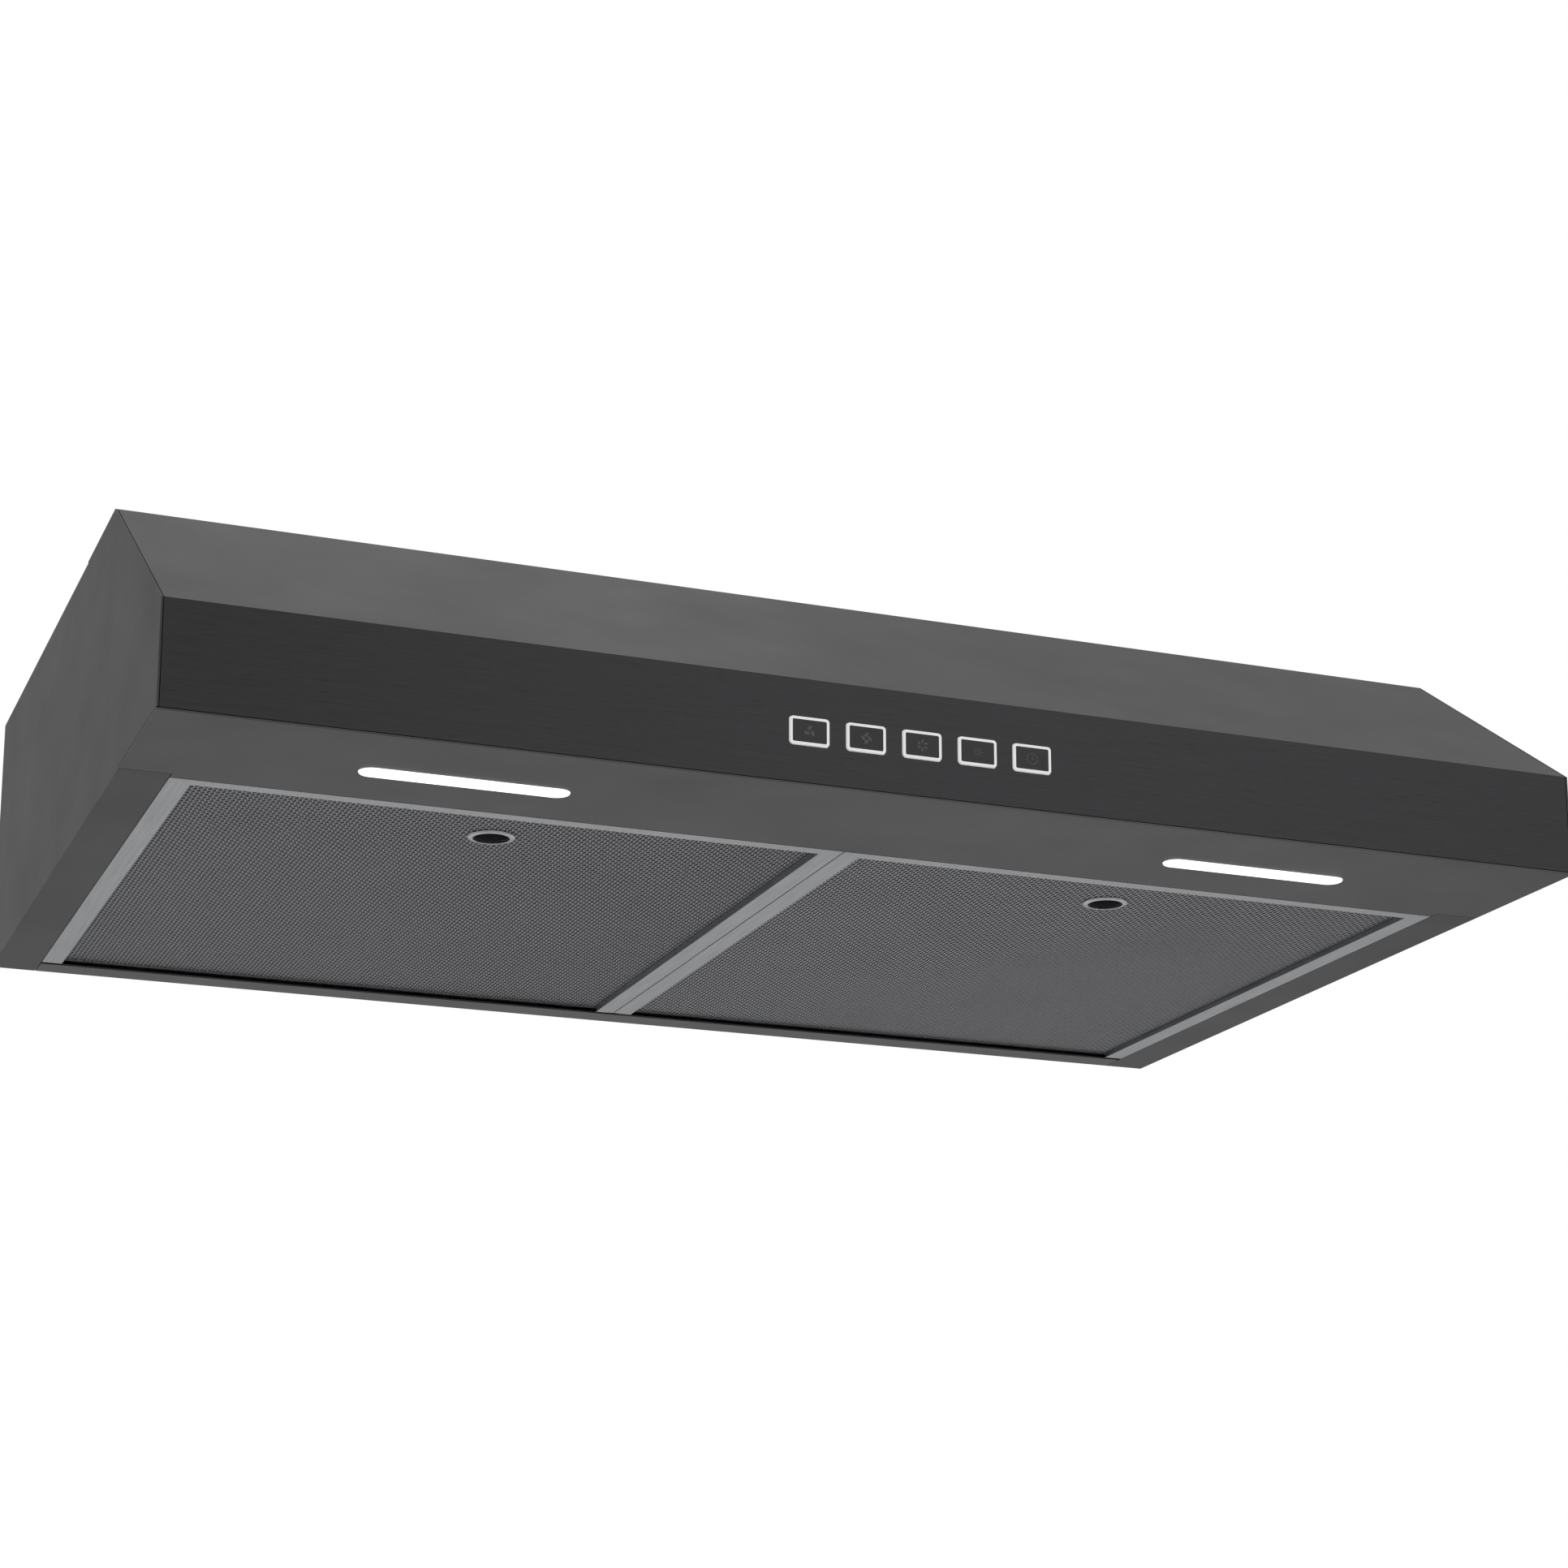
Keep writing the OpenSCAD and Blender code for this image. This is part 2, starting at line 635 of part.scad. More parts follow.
module button_carrier() color("#404040") difference() {
    translate([button_x, 0, above(button_z)])
        span([-carrier_w / 2, front(sheet), -carrier_h / 2],
            [carrier_w / 2, front(board_y), carrier_h / 2]);
    room = 2 * rim_lip + 2 * button_gap;
    for (i = [0:4]) translate([button_at(i), 0, above(button_z)])
        along_y(y_front, board_y + past) rounded(button_w + room, button_h + room, rim_round);
}

// Board with a relay, a controller chip, a capacitor and the harness socket
module control_board() color("darkgreen") translate([button_x, 0, above(button_z)]) {
    back = front(board_y + board_t);
    half_h = 12;
    relay = [28, 12, 16];
    chip = [14, 3, 12];
    socket = [20, 9, 12];
    span([-carrier_w / 2, front(board_y), -half_h], [carrier_w / 2 + board_tail, back, half_h]);
    translate([-40, back, -9]) cube(relay);
    translate([0, back, -6]) cube(chip);
    translate([plug_x - button_x - socket[0] / 2, back, -9]) cube(socket);
    rod_y(back, back + 14, 34, 0, 5);
}

module tact_switches() color("#181818") for (i = [0:4])
    translate([button_at(i), 0, above(button_z)]) {
        half = 3;
        span([-half, front(board_y - switch_h), -half], [half, front(board_y), half]);
        rod_y(front(stem_end + button_travel + touch_gap), front(board_y - switch_h), 0, 0, 1.7);
    }

// ---- blower ----

// Outline of a scroll about the axle, drawn in Y and Z; wall is how far outside the air path
module scroll_outline(wall, top) {
    steps = 48;
    polygon(concat(
        [[scroll_start_r * cos(scroll_start_a) - wall, top]],
        [for (i = [0:steps])
            let (a = scroll_start_a + (360 - scroll_start_a) * i / steps)
            (scroll_r(a) + wall) * [cos(a), sin(a)]],
        [[scroll_end_r + wall, top]]));
}

module scroll_housing() color("lightgray") difference() {
    union() {
        translate([0, axle_y, axle_z]) along_x(scroll_x, scroll_l)
            scroll_outline(scroll_t, -sheet - axle_z);
        span([scroll_x, duct_y0 - blower_flange, -sheet - scroll_t],
            [scroll_x + scroll_l, axle_y + scroll_start_r * cos(scroll_start_a), -sheet]);
        span([scroll_x, duct_y1 - scroll_t, -sheet - scroll_t],
            [scroll_x + scroll_l, duct_y1 + blower_flange, -sheet]);
    }
    translate([0, axle_y, axle_z]) along_x(scroll_x + scroll_t, scroll_l - 2 * scroll_t)
        scroll_outline(0, -axle_z + past);
    rod_x(0, scroll_x + scroll_l + past, axle_y, axle_z, intake_r);
    duct_screw_holes();
}

// Bell mouth pressed into the scroll's outer inlet
module intake_ring() color("silver") translate([scroll_x + scroll_l, axle_y, axle_z])
    rotate([0, 90, 0]) {
        lip = intake_r - scroll_t;            // inside of the mouth
        end = 1 - scroll_t - wheel_gap;       // stops 1 mm before the wheel
        edge = intake_r + 10;
        rise = 2.8;
        rotate_extrude() polygon([
            [lip, end], [intake_r, end], [intake_r, 0], [edge, 0], [edge, scroll_t],
            [intake_r + 2, scroll_t], [lip, rise]]);
    }

module blower_wheel() color("gray") translate([scroll_x + scroll_t + wheel_gap, axle_y, axle_z])
    rotate([0, 90, 0]) difference() {
        union() {
            for (z = [0, wheel_l - disc_t]) translate([0, 0, z]) difference() {
                cylinder(h = disc_t, r = wheel_r);
                translate([0, 0, -past]) cylinder(h = disc_t + 2 * past, r = wheel_r - 3);
            }
            translate([0, 0, (wheel_l - disc_t) / 2]) cylinder(h = disc_t, r = wheel_r - 1);
            translate([0, 0, (wheel_l - hub_l) / 2]) cylinder(h = hub_l, r = hub_r);
            for (i = [0:blade_n - 1]) rotate(i * 360 / blade_n)
                translate([wheel_r - blade_c + 0.2, -blade_c / 4, 0.5])
                    rotate(30) cube([blade_c - 0.5, blade_t, wheel_l - 1]);
        }
        translate([0, 0, -past]) cylinder(h = wheel_l + 2 * past, r = shaft_r);
    }

module left_scroll_housing() to_left() scroll_housing();
module right_scroll_housing() scroll_housing();
module left_intake_ring() to_left() intake_ring();
module right_intake_ring() intake_ring();
module left_blower_wheel() to_left() blower_wheel();
module right_blower_wheel() blower_wheel();

module motor_shaft() color("silver") {
    x = scroll_x + (scroll_l + hub_l) / 2 + 6;
    rod_x(-x, x, axle_y, axle_z, shaft_r);
}

module motor_end_bells() color("gainsboro") difference() {
    for (s = [-1, 1]) translate([s * (motor_l + stator_l) / 4, axle_y, axle_z]) rotate([0, 90, 0]) {
        cylinder(h = (motor_l - stator_l) / 2, r = motor_r - 3, center = true);
        translate([0, 0, s * ((motor_l - stator_l) / 4 + boss_l / 2)])
            cylinder(h = boss_l, r = boss_r, center = true);
    }
    rod_x(-scroll_x, scroll_x, axle_y, axle_z, shaft_r + running_fit);
}

module motor_stator() color("slategray") difference() {
    bolt_r = 1.5;
    bolt_end = 3;                             // bolts past the stack at each end
    union() {
        rod_x(-stator_l / 2, stator_l / 2, axle_y, axle_z, motor_r);
        for (a = [45:90:315])
            rod_x(-stator_l / 2 - bolt_end, stator_l / 2 + bolt_end,
                axle_y + (motor_r - 1) * cos(a), axle_z + (motor_r - 1) * sin(a), bolt_r);
    }
    rod_x(-scroll_x, scroll_x, axle_y, axle_z, shaft_r + running_fit);
}

module motor_bracket() color("silver") difference() {
    leg_x = motor_l / 2 + 2;
    union() {
        span([-scroll_x, duct_y0 - blower_flange, -sheet - bracket_t],
            [scroll_x, duct_y1 + blower_flange, -sheet]);
        for (s = [-1, 1]) translate([s * (leg_x + bracket_t / 2), 0, 0]) {
            span([-bracket_t / 2, axle_y - leg_w, axle_z], [bracket_t / 2, axle_y + leg_w, -sheet]);
            rod_x(-bracket_t / 2, bracket_t / 2, axle_y, axle_z, leg_w);
        }
    }
    rod_x(-scroll_x, scroll_x, axle_y, axle_z, rubber_r);
    duct_screw_holes();
}

module motor_rubber_rings() color("#202020") for (s = [-1, 1])
    translate([s * (motor_l / 2 + 2 + bracket_t / 2), axle_y, axle_z]) rotate([0, 90, 0])
        difference() {
            cylinder(h = rubber_t, r = rubber_r, center = true);
            cylinder(h = rubber_t + past, r = boss_r, center = true);
        }

// ---- wiring ----

module wiring_box() color("silver") difference() {
    low = -sheet - box_h;
    back = y_back - sheet;
    translate([box_x, 0, 0]) difference() {
        span([-box_half, back - box_d, low], [box_half, back, -sheet]);
        span([-box_half + sheet, back - box_d + sheet, low - past],
            [box_half - sheet, back - sheet, past]);
    }
    rod_y(back - 2 * sheet, y_back, box_x, -inlet_drop, inlet_r);
    rod_x(box_x - box_half - past, box_x, back - box_d / 2, -harness_in, 5);
}

module wiring_box_cover() color("silver") {
    low = -sheet - box_h;
    back = y_back - sheet;
    lap = 8;                                  // of the cover up the box's sides
    translate([box_x, 0, 0]) {
        span([-box_half, back - box_d, low - sheet], [box_half, back, low]);
        span([-box_half - sheet, back - box_d, low - sheet], [-box_half, back, low + lap]);
        span([box_half, back - box_d, low - sheet], [box_half + sheet, back, low + lap]);
        rod_z(low - sheet - screw_head_h, low - sheet, 0, back - box_d + 10, screw_head_r);
    }
}

// Five screw terminals on the box's front wall
module terminal_block() color("ivory") translate([box_x, y_back - box_d, -34]) difference() {
    half_l = 26;
    deep = 12;
    half_h = 8;
    pitch = 9;
    span([-half_l, 0, -half_h], [half_l, deep, half_h]);
    for (i = [-2:2]) rod_y(deep / 2, deep + past, i * pitch, 0, 3);
}

// The can hangs in a clip that is screwed to the top panel
module capacitor() color("lightgray") translate([can_x, duct_y0, -sheet]) {
    drop = can_r + 4;
    clip_x0 = 20;
    clip_x1 = 32;
    clip_t = 1.5;
    foot = 10;
    rod_x(0, can_l, 0, -drop, can_r);
    span([clip_x0, -can_r - clip_t, -drop], [clip_x1, can_r + clip_t, 0]);
    span([clip_x0, -can_r - foot, -clip_t], [clip_x1, can_r + foot, 0]);
}

// Wires bundled in a sleeve: a straight run between each pair of points
module bundle(points, r) for (i = [0:len(points) - 2]) {
    step = points[i + 1] - points[i];
    translate(points[i]) rotate([0, acos(step[2] / norm(step)), atan2(step[1], step[0])])
        translate([0, 0, i == 0 ? 0 : -r / 2])
            cylinder(h = norm(step) + (i == 0 ? 0 : r / 2), r = r, $fn = 8);
}

module wire_harness() color("#b02020") {
    plug = [plug_x, front(board_y + board_t + 9), above(button_z - 3)];
    run_x = plug_x + 30;
    run_y = duct_y0 - collar_flange - 52;
    run_z = -sheet - 8;
    motor_x = 8;
    box_y = y_back - sheet - box_d / 2;
    bundle([plug, plug + [0, 14, 0], [run_x, front(slope_run) + 20, run_z], [run_x, run_y, run_z],
        [box_x - box_half - 20, box_y, -harness_in], [box_x - box_half + 6, box_y, -harness_in]], 3);
    bundle([[run_x, run_y, run_z], [motor_x, run_y, run_z], [motor_x, run_y, axle_z],
        [motor_x, axle_y - motor_r, axle_z]], 2.5);
}

left_side_panel();
right_side_panel();
front_panel();
control_fascia();
light_panel();
top_panel();
back_panel();
rear_duct_cover();
filter_pivot_brackets();
filter_catches();
left_filter_frame();
left_filter_mesh();
left_finger_ring();
left_finger_cup();
left_filter_pins();
right_filter_frame();
right_filter_mesh();
right_finger_ring();
right_finger_cup();
right_filter_pins();
left_light_lens();
left_light_housing();
left_led_board();
right_light_lens();
right_light_housing();
right_led_board();
led_driver();
fan_low_button();
fan_low_rim();
fan_medium_button();
fan_medium_rim();
fan_high_button();
fan_high_rim();
light_button();
light_rim();
timer_button();
timer_rim();
button_carrier();
control_board();
tact_switches();
left_scroll_housing();
right_scroll_housing();
left_intake_ring();
right_intake_ring();
left_blower_wheel();
right_blower_wheel();
motor_shaft();
motor_end_bells();
motor_stator();
motor_bracket();
motor_rubber_rings();
wiring_box();
wiring_box_cover();
terminal_block();
capacitor();
wire_harness();
duct_collar();
damper_flap();
damper_pin();
sheet_screws();
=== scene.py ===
import math
import bmesh
import bpy
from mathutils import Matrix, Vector


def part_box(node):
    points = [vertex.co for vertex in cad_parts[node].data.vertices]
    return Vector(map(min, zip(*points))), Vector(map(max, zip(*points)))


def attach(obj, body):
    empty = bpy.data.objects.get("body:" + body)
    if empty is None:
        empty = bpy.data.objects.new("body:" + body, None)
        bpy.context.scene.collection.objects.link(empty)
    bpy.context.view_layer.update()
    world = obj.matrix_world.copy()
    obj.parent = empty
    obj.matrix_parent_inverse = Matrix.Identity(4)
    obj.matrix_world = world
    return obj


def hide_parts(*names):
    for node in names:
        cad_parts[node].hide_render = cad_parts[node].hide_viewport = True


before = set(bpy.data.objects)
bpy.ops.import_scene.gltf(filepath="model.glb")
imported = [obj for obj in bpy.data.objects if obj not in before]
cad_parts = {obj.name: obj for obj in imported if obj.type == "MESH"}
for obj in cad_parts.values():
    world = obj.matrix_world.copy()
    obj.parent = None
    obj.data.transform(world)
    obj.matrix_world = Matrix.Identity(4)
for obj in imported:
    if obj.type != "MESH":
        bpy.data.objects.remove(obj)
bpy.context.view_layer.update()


# ---- camera ----
# A long lens below and to the left of the hood, looking up at its front and
# underside. Its place is in metres from the middle of the hood's underside, and its
# turns are in radians.
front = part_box("light_panel")[0].y
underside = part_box("light_panel")[0].z
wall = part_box("back_panel")[1].y
middle_y = (front + wall) / 2
LEFT, AHEAD, BELOW = 0.6403, 1.7174, 0.4971
LOOK_UP, LOOK_RIGHT = 0.2364, 0.3697
camera_data = bpy.data.cameras.new("camera")
camera_data.lens = 77.4
camera_data.shift_y = 0.15
camera_data.clip_end = 50
camera = bpy.data.objects.new("camera", camera_data)
camera.location = (-LEFT, middle_y - AHEAD, underside - BELOW)
camera.rotation_euler = (math.radians(90) + LOOK_UP, 0, -LOOK_RIGHT)
bpy.context.collection.objects.link(camera)
bpy.context.scene.camera = camera


# ---- studio ----
# Pale paper with faint fibres, an even surround that shows whiter than it lights, and
# soft boxes. The dark coatings mirror the surround, so each box stands where a face looks.
def linear(code):
    """An sRGB hex colour as linear red, green, blue and alpha."""
    parts = [int(code[i:i + 2], 16) / 255 for i in (1, 3, 5)]
    return [p / 12.92 if p <= 0.04045 else ((p + 0.055) / 1.055) ** 2.4 for p in parts] + [1]


def add(tree, kind, links=(), inputs=(), **settings):
    """Adds a node with its settings, and sets or links its inputs."""
    made = tree.nodes.new("ShaderNode" + kind)
    for name, value in settings.items():
        setattr(made, name, value)
    for name, value in dict(inputs).items():
        made.inputs[name].default_value = value
    for name, source in dict(links).items():
        tree.links.new(source, made.inputs[name])
    return made


bpy.context.scene.view_settings.view_transform = "Standard"
world = bpy.data.worlds.new("studio_surround")
world.use_nodes = True
bpy.context.scene.world = world
tree = world.node_tree
tree.nodes.clear()
ray = add(tree, "LightPath")
seen = add(tree, "Background", inputs={"Color": (1, 1, 1, 1), "Strength": 1.0})
lit = add(tree, "Background", inputs={"Color": (1, 1, 1, 1), "Strength": 0.46})
mixed = add(tree, "MixShader", {0: ray.outputs["Is Camera Ray"], 1: lit.outputs[0], 2: seen.outputs[0]})
add(tree, "OutputWorld", {"Surface": mixed.outputs[0]})


def deselect():
    bpy.ops.object.select_all(action="DESELECT")


FLOOR_SIZE, FLOOR_BELOW = 60, 1.1
deselect()
bpy.ops.mesh.primitive_plane_add(size=FLOOR_SIZE, location=(0, 0, underside - FLOOR_BELOW))
floor = bpy.context.object
floor.name = "floor"
paper = bpy.data.materials.new("pale_backdrop_paper")
paper.use_nodes = True
tree = paper.node_tree
fibres = add(tree, "TexNoise", inputs={"Scale": 90, "Detail": 6})
tone = add(tree, "MapRange", {"Value": fibres.outputs[0]}, {"To Min": 0.80, "To Max": 0.84})
ray = add(tree, "LightPath")
direct = add(tree, "Math", {0: ray.outputs["Is Camera Ray"]}, {1: 0.45}, operation="MULTIPLY")
shader = tree.nodes["Principled BSDF"]
tree.links.new(tone.outputs[0], shader.inputs["Base Color"])
tree.links.new(direct.outputs[0], shader.inputs["Emission Strength"])
shader.inputs["Emission Color"].default_value = (1, 1, 1, 1)
shader.inputs["Roughness"].default_value = 0.9
floor.data.materials.append(paper)


def soft_box(name, place, target, width, height, watts):
    """A rectangular light at place that faces target."""
    data = bpy.data.lights.new(name, "AREA")
    data.shape, data.size, data.size_y, data.energy = "RECTANGLE", width, height, watts
    light = bpy.data.objects.new(name, data)
    light.location = place
    light.rotation_euler = (Vector(target) - Vector(place)).to_track_quat("-Z", "Y").to_euler()
    bpy.context.collection.objects.link(light)


centre = (0, middle_y, underside / 2)
soft_box("key_front_right", (1.2, -2.5, 0.8), centre, width=1.8, height=1.3, watts=3.2)
soft_box("over_the_slope", (0.1, 1.5, 1.9), centre, width=1.6, height=1.2, watts=1.0)
soft_box("under_the_filters", (0.45, 1.25, -0.95), centre, width=1.6, height=0.7, watts=0.8)


# ---- folded body ----
# Sheet steel, satin brushed, coated near black, then cut and folded. The light panel,
# slope and back are brushed across the hood, and the sides from front to back.
MM = 0.001
MARK_SIZE = 70 * MM


def surface(name, code, roughness, metallic=1.0):
    """A material with its tree, its shader and Object coordinates in metres."""
    material = bpy.data.materials.new(name)
    material.use_nodes = True
    material.diffuse_color = linear(code)
    tree = material.node_tree
    shader = tree.nodes["Principled BSDF"]
    shader.inputs["Base Color"].default_value = linear(code)
    shader.inputs["Metallic"].default_value = metallic
    shader.inputs["Roughness"].default_value = roughness
    return material, tree, shader, add(tree, "TexCoord").outputs["Object"]


def worked(name, dark, light, roughness, grain_mm, depth_mm, metallic=1.0):
    """A worked or moulded surface: grains of tone, gloss and relief, of the given sizes
    along X, Y and Z, under wide soft marks of handling."""
    material, tree, shader, place = surface(name, light, roughness, metallic)
    scaled = add(tree, "Mapping", {"Vector": place}, {"Scale": [1 / (size * MM) for size in grain_mm]})
    grains = add(tree, "TexNoise", {"Vector": scaled.outputs[0]}, {"Scale": 1.0, "Detail": 5})
    marks = add(tree, "TexNoise", {"Vector": place}, {"Scale": 1 / MARK_SIZE, "Detail": 3})
    part = add(tree, "MapRange", {"Value": grains.outputs[0]}, {"From Min": 0.3, "From Max": 0.7})
    tone = add(tree, "Mix", {"Factor": part.outputs[0]}, {"A": linear(dark), "B": linear(light)},
               data_type="RGBA")
    both = add(tree, "Math", {0: grains.outputs[0], 1: marks.outputs[0]}, operation="ADD")
    gloss = add(tree, "MapRange", {"Value": both.outputs[0]},
                {"From Min": 0.6, "From Max": 1.4, "To Min": roughness - 0.05, "To Max": roughness + 0.06})
    bump = add(tree, "Bump", {"Height": grains.outputs[0]}, {"Strength": 0.3, "Distance": depth_mm * MM})
    tree.links.new(tone.outputs["Result"], shader.inputs["Base Color"])
    tree.links.new(gloss.outputs[0], shader.inputs["Roughness"])
    tree.links.new(bump.outputs[0], shader.inputs["Normal"])
    return material


def paint(material, *nodes):
    """Gives CAD nodes a material in place of their flat one."""
    for name in nodes:
        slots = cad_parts[name].data.materials
        for i in range(len(slots)):
            slots[i] = material


# The coating is thin enough to leave the brush lines, so each face has a soft sheen
# drawn out along one direction. The underside and the sides are copies of the same coating
# with a darker base colour, as painted shade. The lines are drawn 0.8 mm wide, coarser than a real brush
# leaves them, so that they show.
ALONG_X, ALONG_Y = (60, 0.8, 0.8), (0.8, 60, 0.8)
coated_steel = worked("black_coated_satin_steel", "#616162", "#6d6d6e", 0.42, ALONG_X, 0.02)
# The darker tones of the underside and the sides are painted shade, not a different coating.
coated_under_painted_shade = worked("black_coated_satin_steel_underside_painted_shade", "#59595a", "#646465", 0.42, ALONG_X, 0.02)
coated_side_painted_shade = worked("black_coated_satin_steel_side_painted_shade", "#515152", "#5b5b5c", 0.44, ALONG_Y, 0.02)
paint(coated_steel, "front_panel", "back_panel")
paint(coated_under_painted_shade, "light_panel")
paint(coated_side_painted_shade, "left_side_panel", "right_side_panel")


# ---- control fascia ----
# The same steel under a darker coating, linished along its length. The belt leaves long
# fine lines and short dark flecks, and the colour darkens towards the fold at the foot as painted shade.
LINE_L, LINE_W, FLECK_L, FLECK_W = 35 * MM, 0.45 * MM, 9 * MM, 0.35 * MM
FOLD_SHADE_STARTS, FOLD_SHADE_FULL = 1.5 * MM, 0.9 * MM
fascia_steel, tree, shader, place = surface("dark_linished_fascia_steel", "#4c4c4e", 0.38)
drawn = add(tree, "Mapping", {"Vector": place}, {"Scale": (1 / LINE_L, 1 / LINE_W, 1 / LINE_W)})
lines = add(tree, "TexNoise", {"Vector": drawn.outputs[0]}, {"Scale": 1.0, "Detail": 5})
short = add(tree, "Mapping", {"Vector": place}, {"Scale": (1 / FLECK_L, 1 / FLECK_W, 1 / FLECK_W)})
flecks = add(tree, "TexNoise", {"Vector": short.outputs[0]}, {"Scale": 1.0, "Detail": 2})
bite = add(tree, "MapRange", {"Value": flecks.outputs[0]},
           {"From Min": 0.66, "From Max": 0.74, "To Max": 0.4})
height = add(tree, "SeparateXYZ", {"Vector": place})
# Painted shade: within a millimetre and a half of the underside the fascia's colour darkens, standing for
# the fold's shade.
foot_painted_shade = add(tree, "MapRange", {"Value": height.outputs[2]},
           {"From Min": underside + FOLD_SHADE_STARTS, "From Max": underside + FOLD_SHADE_FULL, "To Max": 0.8})
# The flecks are real marks of the belt; the darkening at the foot is painted shade.
flecks_and_painted_shade = add(tree, "Math", {0: bite.outputs[0], 1: foot_painted_shade.outputs[0]}, operation="MAXIMUM")
part = add(tree, "MapRange", {"Value": lines.outputs[0]}, {"From Min": 0.3, "From Max": 0.7})
tone = add(tree, "Mix", {"Factor": part.outputs[0]}, {"A": linear("#454546"), "B": linear("#4c4c4e")},
           data_type="RGBA")
flecked_and_painted_shade = add(tree, "Mix", {"Factor": flecks_and_painted_shade.outputs[0], "A": tone.outputs["Result"]},
             {"B": linear("#1f1f20")}, data_type="RGBA")
gloss = add(tree, "MapRange", {"Value": lines.outputs[0]}, {"To Min": 0.33, "To Max": 0.43})
bump = add(tree, "Bump", {"Height": lines.outputs[0]}, {"Strength": 0.3, "Distance": 0.02 * MM})
tree.links.new(flecked_and_painted_shade.outputs["Result"], shader.inputs["Base Color"])
tree.links.new(gloss.outputs[0], shader.inputs["Roughness"])
tree.links.new(bump.outputs[0], shader.inputs["Normal"])
paint(fascia_steel, "control_fascia")


# ---- top, collar and boxes ----
# Hot-dip galvanised sheet, used where it isn't seen from the room: the zinc
# freezes in crystals a few millimetres wide, each at its own tilt and grey.
CRYSTAL = 6 * MM
galvanised, tree, shader, place = surface("hot_dip_galvanised_steel", "#b4b7b9", 0.45)
crystals = add(tree, "TexVoronoi", {"Vector": place}, {"Scale": 1 / CRYSTAL})
facet = add(tree, "SeparateColor", {"Color": crystals.outputs["Color"]})
tone = add(tree, "Mix", {"Factor": facet.outputs[0]}, {"A": linear("#a3a7aa"), "B": linear("#b9bcbe")},
           data_type="RGBA")
gloss = add(tree, "MapRange", {"Value": facet.outputs[1]}, {"To Min": 0.36, "To Max": 0.52})
bump = add(tree, "Bump", {"Height": facet.outputs[2]}, {"Strength": 0.2, "Distance": 0.02 * MM})
tree.links.new(tone.outputs["Result"], shader.inputs["Base Color"])
tree.links.new(gloss.outputs[0], shader.inputs["Roughness"])
tree.links.new(bump.outputs[0], shader.inputs["Normal"])
paint(galvanised, "top_panel", "rear_duct_cover", "left_scroll_housing", "right_scroll_housing",
      "left_intake_ring", "right_intake_ring", "motor_bracket", "wiring_box", "wiring_box_cover",
      "duct_collar", "damper_flap", "filter_pivot_brackets")
# Bright zinc is barely patterned: small pieces take an even, slightly cloudy shine.
plated = worked("zinc_plated_steel", "#b0b0ad", "#c4c4c2", 0.3, (2, 2, 2), 0.01)
paint(plated, "filter_catches", "left_filter_pins", "right_filter_pins", "motor_shaft", "damper_pin")


# ---- sheet screws ----
# Zinc-plated pan-head screws with a cross recess. One is turned and pressed, and
# the rest are copies: eight hold the collar and eight more the back and its cover.
def choose(*pieces):
    """Selects these pieces alone and makes the first the active one."""
    deselect()
    for piece in pieces:
        piece.select_set(True)
    bpy.context.view_layer.objects.active = pieces[0]


def placed():
    """Sets the object's place, turn and size into its mesh."""
    bpy.ops.object.transform_apply(location=True, rotation=True, scale=True)
    return bpy.context.object


def pick(kind, test):
    """In edit mode, selects the verts, edges or faces whose middle and normal pass a test."""
    bpy.ops.mesh.select_mode(type={"verts": "VERT", "edges": "EDGE", "faces": "FACE"}[kind])
    bpy.ops.mesh.select_all(action="DESELECT")
    mesh = bmesh.from_edit_mesh(bpy.context.object.data)
    for part in getattr(mesh, kind):
        corners = [part] if kind == "verts" else part.verts
        middle = sum((corner.co for corner in corners), Vector()) / len(corners)
        part.select_set(test(middle, getattr(part, "normal", None)))
    mesh.select_flush_mode()
    bmesh.update_edit_mesh(bpy.context.object.data)


def modified(piece, kind, **settings):
    """Adds a modifier and applies it."""
    bpy.context.view_layer.objects.active = piece
    made = piece.modifiers.new(kind.lower(), kind)
    for name, value in settings.items():
        setattr(made, name, value)
    bpy.ops.object.modifier_apply(modifier=made.name)


def finished(piece, name, body, material, angle=30, stands_for=()):
    """Names a piece and gives it its body, its material and smooth shading."""
    choose(piece)
    bpy.ops.object.shade_smooth_by_angle(angle=math.radians(angle))
    piece.name = piece.data.name = name
    piece.data.materials.clear()
    piece.data.materials.append(material)
    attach(piece, body)
    if stands_for:
        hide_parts(*stands_for)
    return piece


def joined(pieces):
    choose(*pieces)
    bpy.ops.object.join()
    return bpy.context.object


def copied(piece):
    choose(piece)
    bpy.ops.object.duplicate()
    return bpy.context.object


HEAD_R, HEAD_H, HEAD_ROUND = 3.5 * MM, 1.8 * MM, 1.1 * MM
SHANK_R, SHANK_L = 1.9 * MM, 1.9 * MM
CROSS_L, CROSS_W, CROSS_D = 3.6 * MM, 0.8 * MM, 1.8 * MM
deselect()
bpy.ops.mesh.primitive_cylinder_add(vertices=32, radius=HEAD_R, depth=HEAD_H, location=(0, 0, HEAD_H / 2))
screw = placed()
bpy.ops.object.mode_set(mode="EDIT")
pick("faces", lambda middle, normal: normal.z > 0.9)
bpy.ops.mesh.bevel(offset=HEAD_ROUND, segments=3, affect="EDGES")
pick("faces", lambda middle, normal: normal.z < -0.9)
bpy.ops.mesh.inset(thickness=HEAD_R - SHANK_R)
bpy.ops.mesh.extrude_region_move(TRANSFORM_OT_translate={"value": (0, 0, -SHANK_L)})
bpy.ops.object.mode_set(mode="OBJECT")
